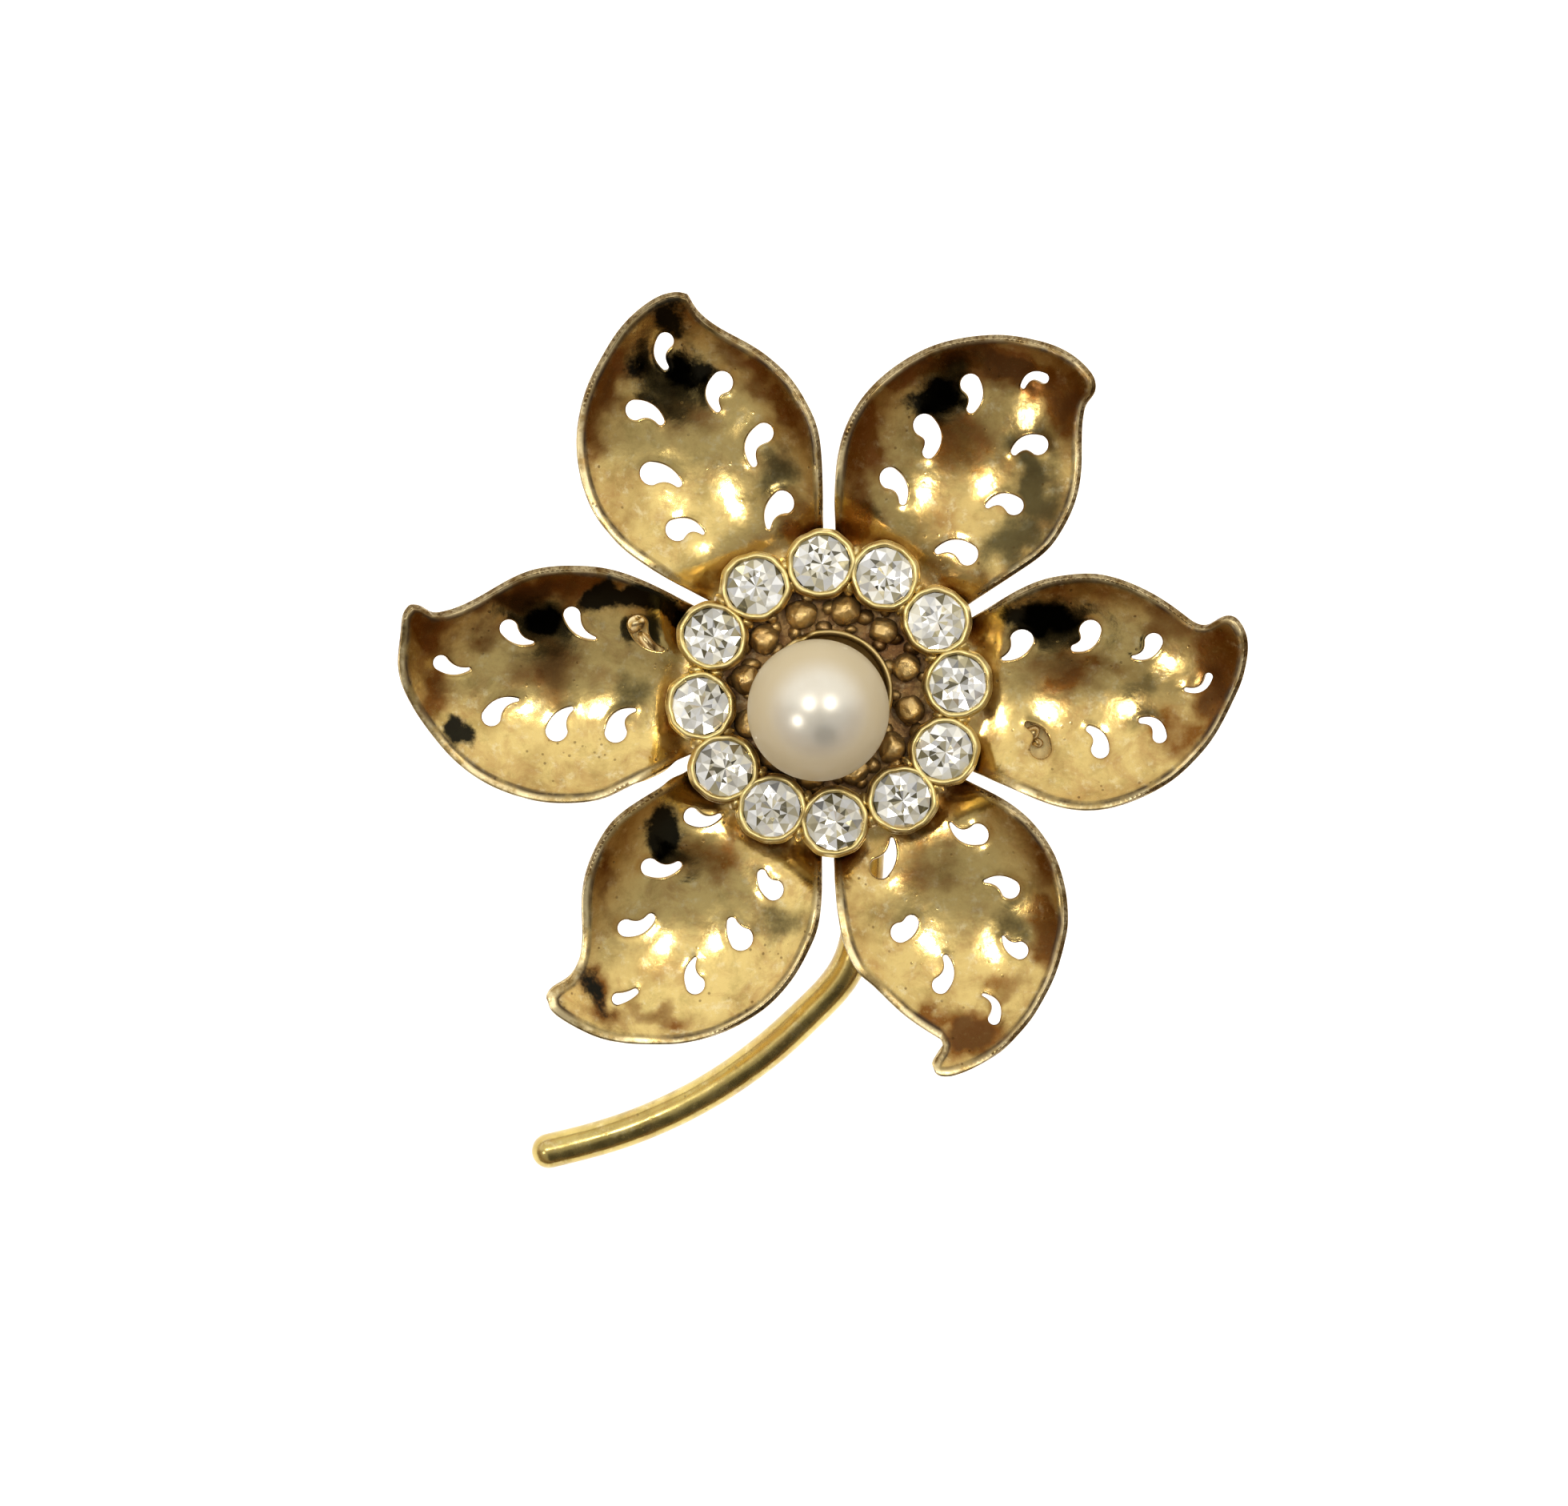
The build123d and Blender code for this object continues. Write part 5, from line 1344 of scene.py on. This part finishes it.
def tube_along(points, radii, seg=24):
    """Closed round tube through points."""
    p = np.asarray(points, float)
    t = np.gradient(p, axis=0)
    t /= np.linalg.norm(t, axis=1)[:, None]
    up = np.array([0.0, 1.0, 0.0]) if abs(t[0, 1]) < 0.8 else np.array([1.0, 0.0, 0.0])
    verts, faces = [], []
    for i in range(len(p)):
        s = np.cross(t[i], up)
        s /= np.linalg.norm(s)
        up = np.cross(s, t[i])
        a = np.linspace(0, 2 * math.pi, seg, endpoint=False)[:, None]
        verts.append(p[i] + radii[i] * (np.cos(a) * s + np.sin(a) * up))
    for i in range(len(p) - 1):
        for j in range(seg):
            k = (j + 1) % seg
            faces.append((i * seg + j, i * seg + k, (i + 1) * seg + k, (i + 1) * seg + j))
    faces.append(tuple(range(seg))[::-1])
    faces.append(tuple((len(p) - 1) * seg + j for j in range(seg)))
    return np.vstack(verts), faces


def make_peg():
    c = PEARL_C - [AX, AY, 0]
    bend = np.array([0, 0, 7.95])
    up = (c - bend) / np.linalg.norm(c - bend)
    pts = [[0, 0, z] for z in np.linspace(6.44, 7.7, 8)]
    pts += [list(bend * 0 + [0, 0, 7.7] + (bend + up * 0.3 - [0, 0, 7.7]) * s
                 + np.array([0, 0, 1]) * 0.0) for s in (0.5,)]
    pts += [list(bend + up * s) for s in np.linspace(0.3, np.linalg.norm(c - bend) - 0.02, 10)]
    v, f = tube_along(pts, [0.39] * len(pts), 24)
    ob = make_object("peg", v, f, offset=(AX, AY, 0), sharp_deg=50)
    return finish_piece(ob, "steel", ROOT, ["pearl_peg"])


def make_pearl():
    """Imitation pearl: a slightly uneven ball with a drilled hole at the peg."""
    c = PEARL_C
    d = np.array([AX, AY, 7.95]) - c
    d /= np.linalg.norm(d)
    s = np.cross(d, [0, 1.0, 0])
    s /= np.linalg.norm(s)
    t = np.cross(d, s)
    R = PEARL_R - 0.005
    a0 = math.asin(0.43 / R)
    ang = np.r_[np.linspace(math.pi, a0 + 0.03, 90), a0]
    prof = [(R * math.sin(q), R * math.cos(q)) for q in ang]
    prof[0] = (0, -R)
    prof += [(0.42, R * math.cos(a0) - 0.05), (0.41, 2.0), (0.41, 0.35), (0, 0.32)]
    v, f = lathe(prof[::-1], 144)
    r = np.linalg.norm(v, axis=1)
    k = 1 - 0.0016 * (1 + ripple(v[:, 0] + v[:, 2] * 0.7, v[:, 1] - v[:, 2] * 0.4, 5.0, 3))
    v = np.where((r > R * 0.98)[:, None], v * k[:, None], v)
    w = c + v[:, :1] * s + v[:, 1:2] * t + v[:, 2:] * d
    # the lower side, which carries the pearl's painted shade and reflection
    low = smoothstep((0.96 - (w[:, 2] - c[2]) / PEARL_R) / 0.33)
    ob = make_object("pearl_ball", w, f, {"low": low}, sharp_deg=60)
    return finish_piece(ob, "pearl", ROOT, ["pearl"])


make_hub()
make_cup()
make_peg()
make_pearl()


# ---------------------------------------------------------------------------
# Stem: a half-round bar with two soft flats and a rounded end
# ---------------------------------------------------------------------------
STEM_W, STEM_H = 2.2, 1.6
STEM_PATH = [(2.30, -3.30), (2.40, -7.00), (2.40, -10.50), (2.02, -14.20),
             (1.20, -17.27), (0.06, -18.88), (-1.25, -20.20), (-2.90, -21.77),
             (-5.02, -23.50), (-7.41, -25.12), (-9.98, -26.50),
             (-12.72, -27.65), (-15.40, -28.48), (-17.77, -29.06)]


def make_stem():
    p = natural_spline(STEM_PATH, 0.25)
    d = np.r_[0, np.cumsum(np.linalg.norm(np.diff(p, axis=0), axis=1))]
    run = float(sum(np.linalg.norm(np.diff(np.array(STEM_PATH), axis=0), axis=1)))
    t = np.gradient(p, axis=0)
    t /= np.linalg.norm(t, axis=1)[:, None]
    # carry on straight for the round end
    ends = np.array([0.15, 0.3, 0.45, 0.6, 0.72, 0.83, 0.92, 0.98, 1.03, 1.065])
    p = np.vstack([p, p[-1] + t[-1] * ends[:, None]])
    t = np.vstack([t, np.repeat(t[-1:], len(ends), 0)])
    s = np.r_[d, d[-1] + ends]
    fall = smoothstep((s * run / d[-1] - 4.0) / (run - 6.0))
    z = (HUB_Z0 - STEM_H) * (1.0 - fall)
    scale = np.ones(len(p))
    tail = s - d[-1]
    scale[tail > 0] = np.sqrt(np.maximum(1 - (tail[tail > 0] / 1.08) ** 2, 0.0))
    # section: flat base, rounded corners, upright sides, a soft ridge
    sec = np.array([(-0.86, 0.0), (-0.97, 0.05), (-1.0, 0.16), (-0.985, 0.34),
                    (-0.93, 0.52), (-0.80, 0.71), (-0.60, 0.855), (-0.36, 0.94),
                    (-0.14, 0.985), (0.06, 1.0), (0.26, 0.975), (0.48, 0.905),
                    (0.68, 0.79), (0.84, 0.62), (0.94, 0.44), (0.99, 0.26),
                    (0.995, 0.12), (0.95, 0.03), (0.84, 0.0), (0.3, 0.0), (-0.3, 0.0)])
    sec = even(np.vstack([natural_spline(sec[:19], 0.06), sec[19:]]), 0.075)
    m = len(sec)
    verts = []
    uneven = ripple(s, s * 0, 6.0, 77) * 0.012
    for i in range(len(p)):
        side = np.array([t[i, 1], -t[i, 0], 0.0])
        w = STEM_W / 2 * scale[i] * (1 + uneven[i])
        h = STEM_H * (0.25 + 0.75 * scale[i]) if scale[i] < 1 else STEM_H
        base = z[i] + 0.02 + (1 - scale[i]) * 0.20
        top = min(h, STEM_H)
        q = (np.array([p[i, 0], p[i, 1], 0.0]) - side * 0 + sec[:, :1] * w * side
             + np.c_[np.zeros((m, 2)), base + sec[:, 1] * (top - (base - z[i]) - 0.02)])
        verts.append(q)
    faces = []
    for i in range(len(p) - 1):
        for j in range(m):
            k = (j + 1) % m
            faces.append((i * m + j, (i + 1) * m + j, (i + 1) * m + k, i * m + k))
    faces.append(tuple(range(m)))
    faces.append(tuple((len(p) - 1) * m + j for j in range(m))[::-1])
    v = np.vstack(verts)
    edge = np.tile(np.where((sec[:, 1] > 0.9) | (np.abs(sec[:, 0]) > 0.95), 0.25, 0.0), len(p))
    # painted shade along the stem where it runs under the flower
    nook = np.repeat(1 - smoothstep((s - 8.0) / 9.0), m) * 0.8
    ob = make_object("stalk", v, faces, {"edge": edge, "nook": nook}, offset=(AX, AY, 0),
                     sharp_deg=60)
    return finish_piece(ob, "stem", ROOT, ["stem"])


make_stem()


# ---------------------------------------------------------------------------
# Pin-back.  s runs from the hinge along the pin, n across, z up.
# ---------------------------------------------------------------------------
def rounded(pts, r, n=5):
    """Plan outline with its corners rounded."""
    pts = [np.array(p, float) for p in pts]
    out = []
    for i, p in enumerate(pts):
        a, b = pts[i - 1], pts[(i + 1) % len(pts)]
        da, db = (a - p) / np.linalg.norm(a - p), (b - p) / np.linalg.norm(b - p)
        ang = math.acos(np.clip(da @ db, -1, 1))
        cut = min(r / math.tan(ang / 2), 0.45 * np.linalg.norm(a - p),
                  0.45 * np.linalg.norm(b - p))
        for q in np.linspace(0, 1, n):
            out.append((1 - q) ** 2 * (p + da * cut) + 2 * q * (1 - q) * p
                       + q * q * (p + db * cut))
    return np.array(out)


def circle(c, r, n=40):
    a = np.linspace(0, 2 * math.pi, n, endpoint=False)
    return np.c_[c[0] + r * np.cos(a), c[1] + r * np.sin(a)]


BAR_Z0_, BAR_Z1_ = 4.40, 5.20
BAR_S0 = -1.4
BAR_S1 = BAR_S0 + 29.2
EAR_R, RIVET_R = 1.60, 0.45
CATCH_MID = 26.0
CATCH_HALF = 1.30


def make_bar():
    plan = rounded([(BAR_S0 + 0.02, -2.23), (BAR_S1 - 0.02, -2.23),
                    (BAR_S1 - 0.02, 2.23), (BAR_S0 + 0.02, 2.23)], 1.5, 8)
    plan = even(plan, 0.22)
    parts = []
    v, f = plate_mesh(plan, [], BAR_Z0_, BAR_Z1_ - 0.01, 0.09, 1.0)
    parts.append((v, f, {"edge": np.where((v[:, 2] > BAR_Z0_ + 0.05)
                                          & (v[:, 2] < BAR_Z1_ - 0.06), 0.7, 0.0)}))
    for sign in (-1, 1):
        a, b = sorted((sign * 0.90, sign * 1.50))
        ang = np.radians(np.linspace(180, 360, 36))
        loop = np.vstack([np.c_[EAR_R * np.cos(ang), PIN_Z + EAR_R * np.sin(ang)],
                          [(EAR_R, 3.2), (EAR_R + 0.25, BAR_Z0_ + 0.08),
                           (-EAR_R, BAR_Z0_ + 0.08), (-EAR_R, 3.2)]])
        loop = even(loop, 0.14)
        loop[:, 1] = np.maximum(loop[:, 1], 0.005)
        hole = circle((0, PIN_Z), RIVET_R + 0.01, 32)
        v, f = plate_mesh(loop, [hole], a + 0.005, b - 0.005, 0.07, 0.6)
        w = np.c_[v[:, 0], v[:, 2], v[:, 1]]
        f = [tuple(g)[::-1] for g in f]
        r = np.hypot(v[:, 0], v[:, 1] - PIN_Z)
        # painted shade in the corner where each ear meets the bar
        parts.append((w, f, {"edge": np.where(r > EAR_R - 0.09, 0.7, 0.0),
                             "nook": np.clip((v[:, 1] - 3.6) / 0.8, 0, 1)}))
    v, f, at = merge(parts)
    v = to_bar(v)
    # drops of solder on it, which fill one piercing at each side
    drops = [(v, f, at)]
    for i, (x, y, rx, ry, rot, z1) in enumerate((
            (-12.15, 4.35, 0.72, 0.50, 25, 6.95), (-11.45, 3.25, 0.85, 0.34, -52, 6.72),
            (-11.95, 4.75, 0.26, 0.22, 0, 7.12), (-12.5, 3.9, 0.30, 0.24, 60, 6.75),
            (12.75, -2.55, 0.62, 0.46, 35, 6.15), (13.1, -3.1, 0.40, 0.32, -20, 6.0))):
        p, g = blob(1.0, 700 + i, 5, sub=3)
        h = (z1 - BAR_Z1_ + 0.25) / 2
        p = p * [rx, ry, h]
        a = math.radians(rot)
        q = np.c_[p[:, 0] * math.cos(a) - p[:, 1] * math.sin(a) + x + AX,
                  p[:, 0] * math.sin(a) + p[:, 1] * math.cos(a) + y + AY, p[:, 2] + z1 - h]
        # painted shade on the lower parts of the drops, down in the piercings, and over most of the two drops at the
        # right
        drops.append((q, g, {"edge": np.full(len(q), 0.85 if i < 4 else 0.15),
                             "nook": 0.6 * np.clip((6.4 - q[:, 2]) / 0.9, 0.9 * (i > 3), 1)}))
    v, f, at = merge(drops)
    ob = make_object("back_bar", v, f, at, sharp_deg=48)
    return finish_piece(ob, "back", ROOT, ["pin_bar"])


def turn_y(profile, seg=48):
    """Lathe about the hinge: profile of (r, y)."""
    v, f = lathe(profile, seg)
    w = np.c_[v[:, 0], v[:, 2], v[:, 1] + PIN_Z]
    return w, [tuple(g)[::-1] for g in f]


def turn_x(profile, seg=40):
    """Lathe about the pin: profile of (r, s)."""
    v, f = lathe(profile, seg)
    return np.c_[v[:, 2], v[:, 0], v[:, 1] + PIN_Z], f


def make_rivet():
    y, h, r = 1.5, 0.33, 0.79
    head = [(r, y + 0.0), (r, y + 0.08), (r - 0.08, y + 0.20), (r - 0.26, y + 0.29),
            (r - 0.5, y + h), (0, y + h)]
    prof = [(0, -y - h)] + [(a, -b) for a, b in head[:-1][::-1]] + [
        (RIVET_R, -y), (RIVET_R, y)] + head
    v, f = turn_y(prof)
    ob = make_object("hinge_pin", to_bar(v), f, {"edge": np.full(len(v), 0.2)}, sharp_deg=50)
    return finish_piece(ob, "back", ROOT, ["hinge_rivet"])


def make_pin_wire():
    """One wire: two turns round the rivet, then straight to a fine point."""
    parts = []
    prof = [(0.51, -0.83), (1.00, -0.83), (1.08, -0.76), (1.10, -0.60), (1.10, -0.16),
            (1.06, -0.05), (1.02, 0.0), (1.06, 0.05), (1.10, 0.16), (1.10, 0.60),
            (1.08, 0.76), (1.00, 0.83), (0.51, 0.83)]
    v, f = turn_y(prof, 56)
    parts.append((v, f))
    s0, s1, tip = 0.80, 24.2, 28.06
    tail = [(0.445, s1)]
    for q in np.linspace(0.08, 1, 14):
        r = 0.445 * (1 - q ** 1.35) + 0.03 * q
        tail.append((r, s1 + (tip - s1) * q))
    prof = [(0, s0), (0.70, s0), (0.68, s0 + 0.3), (0.58, s0 + 0.75), (0.49, s0 + 1.05)] + [
        (0.445, s) for s in np.linspace(s0 + 1.3, s1 - 0.5, 24)] + tail + [(0, tip + 0.03)]
    v, f = turn_x(prof, 32)
    parts.append((v, f))
    v, f, at = merge(parts)
    ob = make_object("pin_wire", to_bar(v), f, at, sharp_deg=50)
    return finish_piece(ob, "steel", PIN, ["pin_stem"])


def extrude_s(outline, s0, s1, bevel=0.06, step=0.5):
    """Outline in (n, z), run along the pin from s0 to s1."""
    v, f = plate_mesh(outline, [], s0, s1, bevel, step)
    w = np.c_[v[:, 2], v[:, 0], v[:, 1]]
    return w, f


def c_shape(r_out, r_in, slot, foot=None, lever=None):
    """C with its mouth down; foot is (half width, top) of a block above it."""
    ho, hi_ = math.asin(slot / 2 / r_out), math.asin(slot / 2 / r_in)
    a = np.linspace(-math.pi / 2 + ho, math.pi * 1.5 - ho, 70)
    b = np.linspace(math.pi * 1.5 - hi_, -math.pi / 2 + hi_, 50)
    out = np.c_[r_out * np.cos(a), r_out * np.sin(a)]
    if foot:
        w, top = foot
        keep_r = out[(a < math.pi / 2) & (out[:, 0] > w)]
        keep_l = out[(a > math.pi / 2) & (out[:, 0] < -w)]
        out = np.vstack([keep_r, [(w, math.sqrt(r_out ** 2 - w * w) + 0.1), (w, top),
                                  (-w, top), (-w, math.sqrt(r_out ** 2 - w * w) + 0.1)],
                         keep_l])
    if lever:
        half, reach = lever
        x0 = math.sqrt(r_out ** 2 - half * half)
        up = out[(out[:, 1] > half) | (out[:, 0] < 0)]
        first = out[(out[:, 1] < -half) & (out[:, 0] > 0)]
        q = np.linspace(-math.pi / 2, math.pi / 2, 16)
        arm = np.vstack([[(x0, -half)],
                         np.c_[reach - half + half * np.cos(q), half * np.sin(q)],
                         [(x0, half)]])
        rest = up[~((up[:, 0] > 0) & (up[:, 1] < half))]
        out = np.vstack([first, arm, rest])
    inn = np.c_[r_in * np.cos(b), r_in * np.sin(b)]
    loop = np.vstack([out, inn])
    return even(loop, 0.09) + [0, PIN_Z]


def make_housing():
    s0, s1 = CATCH_MID - CATCH_HALF, CATCH_MID + CATCH_HALF
    body = c_shape(1.675, 1.055, 1.11, foot=(1.03, BAR_Z0_ - PIN_Z - 0.25))
    v, f = extrude_s(body, s0 + 0.005, s1 - 0.005, 0.05, 0.4)
    parts = [(v, f, {"edge": np.where((v[:, 0] < s0 + 0.05) | (v[:, 0] > s1 - 0.05), 0.7, 0)})]
    pad = rounded([(s0 - 0.88, -1.68), (s1 - 0.02, -1.68), (s1 - 0.02, 1.68),
                   (s0 - 0.88, 1.68)], 0.5, 6)
    v, f = plate_mesh(even(pad, 0.15), [], BAR_Z0_ - 0.49, BAR_Z0_ - 0.005, 0.08, 0.6)
    # painted shade, even over the whole pad under the bar
    parts.append((v, f, {"nook": np.full(len(v), 0.3)}))
    v, f, at = merge(parts)
    v[:, 2] = np.maximum(v[:, 2], 0.01)
    ob = make_object("catch_shell", to_bar(v), f, at, sharp_deg=48)
    return finish_piece(ob, "back", ROOT, ["catch_housing"])


def make_lock():
    s0, s1 = CATCH_MID - CATCH_HALF, CATCH_MID + CATCH_HALF
    a, b = s0 - 0.45, s1 + 0.55
    tube = c_shape(0.99, 0.56, 1.09)
    fl = c_shape(1.24, 0.56, 1.09)
    arm = c_shape(1.24, 0.56, 1.09, lever=(0.44, 2.49))
    parts = []
    for loop, p, q, e in ((tube, a + 0.2, b - 0.2, 0.0), (fl, a, s0 - 0.055, 0.6),
                          (arm, s1 + 0.055, b, 0.6)):
        v, f = extrude_s(loop, p, q, 0.045, 0.35)
        parts.append((v, f, {"edge": np.full(len(v), e)}))
    v, f, at = merge(parts)
    ob = make_object("catch_turn", to_bar(v), f, at, sharp_deg=48)
    return finish_piece(ob, "back", LOCKBODY, ["catch_lock"])


make_bar()
make_rivet()
make_pin_wire()
make_housing()
make_lock()


# ---------------------------------------------------------------------------
# Floor, light, camera
# ---------------------------------------------------------------------------
FLOOR_Z = -27.2


def make_floor():
    """Just clear of the point of the opened pin, and seen from above only."""
    n, half = 24, 1500.0
    g = np.linspace(-half, half, n + 1)
    v = [(x, y, FLOOR_Z) for y in g for x in g]
    f = [(j * (n + 1) + i, j * (n + 1) + i + 1, (j + 1) * (n + 1) + i + 1,
          (j + 1) * (n + 1) + i) for j in range(n) for i in range(n)]
    ob = make_object("floor", v, f)
    m = Tree("pale_floor")
    grain = m.noise(1.2, 2.0)
    col = m.mix(m.span(grain, 0.3, 0.7), (0.93, 0.93, 0.925), (0.95, 0.95, 0.945))
    m.set(Base_Color=col, Roughness=0.9, Emission_Color=(1.0, 1.0, 1.0),
          Emission_Strength=0.70)
    under = m.t.nodes.new("ShaderNodeNewGeometry").outputs["Backfacing"]
    clear = m.t.nodes.new("ShaderNodeBsdfTransparent")
    side = m.t.nodes.new("ShaderNodeMixShader")
    m.t.links.new(under, side.inputs[0])
    m.t.links.new(m.bsdf.outputs[0], side.inputs[1])
    m.t.links.new(clear.outputs[0], side.inputs[2])
    m.t.links.new(side.outputs[0], m.out.inputs["Surface"])
    ob.data.materials.append(m.mat)


def make_world():
    """A pale room: bright overhead, browner towards the horizon, with the dim
    shape of somebody standing at the near side of the table."""
    w = bpy.data.worlds.new("studio")
    bpy.context.scene.world = w
    w.use_nodes = True
    t = w.node_tree
    t.nodes.clear()
    out = t.nodes.new("ShaderNodeOutputWorld")
    bg = t.nodes.new("ShaderNodeBackground")
    show = t.nodes.new("ShaderNodeBackground")
    mixs = t.nodes.new("ShaderNodeMixShader")
    path = t.nodes.new("ShaderNodeLightPath")
    co = t.nodes.new("ShaderNodeTexCoord")
    sep = t.nodes.new("ShaderNodeSeparateXYZ")
    t.links.new(co.outputs["Generated"], sep.inputs[0])

    def link(v, sock):
        if isinstance(v, (int, float)):
            sock.default_value = v
        else:
            t.links.new(v, sock)

    def mt(op, a, b=0.0, clamp=False):
        n = t.nodes.new("ShaderNodeMath")
        n.operation, n.use_clamp = op, clamp
        link(a, n.inputs[0])
        link(b, n.inputs[1])
        return n.outputs[0]

    def span(v, a, b, lo, hi):
        n = t.nodes.new("ShaderNodeMapRange")
        n.interpolation_type = "SMOOTHSTEP"
        link(v, n.inputs[0])
        for i, q in enumerate((a, b, lo, hi)):
            n.inputs[i + 1].default_value = q
        return n.outputs[0]

    X, Y, Z = sep.outputs
    side = span(Y, -0.10, 0.35, 0.0, 1.0)
    near = span(Z, 0.02, 0.72, 0.44, 1.0)
    far = span(Z, 0.0, 0.20, 0.30, 1.0)
    up = mt("ADD", mt("MULTIPLY", mt("SUBTRACT", 1.0, side), mt("MULTIPLY", near, 0.465)),
            mt("MULTIPLY", side, mt("MULTIPLY", far, 1.12)))
    # the dim shape: an oval in the sky towards -Y
    ex = mt("DIVIDE", mt("SUBTRACT", X, 0.18), 0.31)
    ey = mt("DIVIDE", mt("ADD", Y, 0.645), 0.265)
    rr = mt("ADD", mt("MULTIPLY", ex, ex), mt("MULTIPLY", ey, ey))
    shape = span(rr, 0.85, 1.10, 0.025, 1.0)
    level = mt("MULTIPLY", up, shape)
    mixc = t.nodes.new("ShaderNodeMix")
    mixc.data_type = "RGBA"
    ins = [i for i in mixc.inputs if i.type == "RGBA"]
    ins[0].default_value = (0.90, 0.52, 0.19, 1)
    ins[1].default_value = (1.0, 0.985, 0.95, 1)
    t.links.new(mt("ADD", mt("MULTIPLY", side, 0.75), span(Z, 0.15, 0.80, 0.0, 1.0), True),
                mixc.inputs["Factor"])
    t.links.new([o for o in mixc.outputs if o.type == "RGBA"][0], bg.inputs["Color"])
    t.links.new(level, bg.inputs["Strength"])
    show.inputs["Color"].default_value = (1, 1, 1, 1)
    show.inputs["Strength"].default_value = 1.0
    t.links.new(path.outputs["Is Camera Ray"], mixs.inputs[0])
    t.links.new(bg.outputs[0], mixs.inputs[1])
    t.links.new(show.outputs[0], mixs.inputs[2])
    t.links.new(mixs.outputs[0], out.inputs["Surface"])


def lamp(name, tilt, azimuth, size, power, dist=700.0, colour=(1, 0.97, 0.93)):
    """Round soft light, tilt degrees from overhead towards that azimuth
    (0 is +X, 90 is +Y)."""
    d = bpy.data.lights.new(name, "AREA")
    d.shape, d.size, d.energy, d.color = "DISK", size * MM, power, colour
    ob = bpy.data.objects.new(name, d)
    t, a = math.radians(tilt), math.radians(azimuth)
    ob.location = (Vector((math.sin(t) * math.cos(a), math.sin(t) * math.sin(a),
                           math.cos(t))) * dist + Vector((AX, AY, 8.0))) * MM
    ob.rotation_euler = (Vector((AX, AY, 8.0)) * MM - ob.location).to_track_quat(
        "-Z", "Y").to_euler()
    bpy.context.scene.collection.objects.link(ob)
    return ob


def make_camera():
    cam = bpy.data.cameras.new("camera")
    cam.sensor_width = 36.0
    dist = 400.0
    cam.lens = 36.0 * dist / 98.0
    cam.clip_start, cam.clip_end = 0.01, 10.0
    ob = bpy.data.objects.new("camera", cam)
    ob.location = ((AX - 2.80) * MM, (AY - 3.75) * MM, (dist + 7.5) * MM)
    ob.rotation_euler = (0, 0, 0)
    bpy.context.scene.collection.objects.link(ob)
    bpy.context.scene.camera = ob


make_floor()
make_world()
lamp("lamp_left", 18.6, 146, 92, 0.75)
lamp("lamp_right", 22.6, 29, 92, 0.75)
lamp("lamp_low_left", 39, 206, 80, 0.5)
make_camera()
bpy.context.scene.view_settings.view_transform = "Standard"
bpy.context.scene.view_settings.look = "None"
bpy.context.scene.view_settings.exposure = 0.0
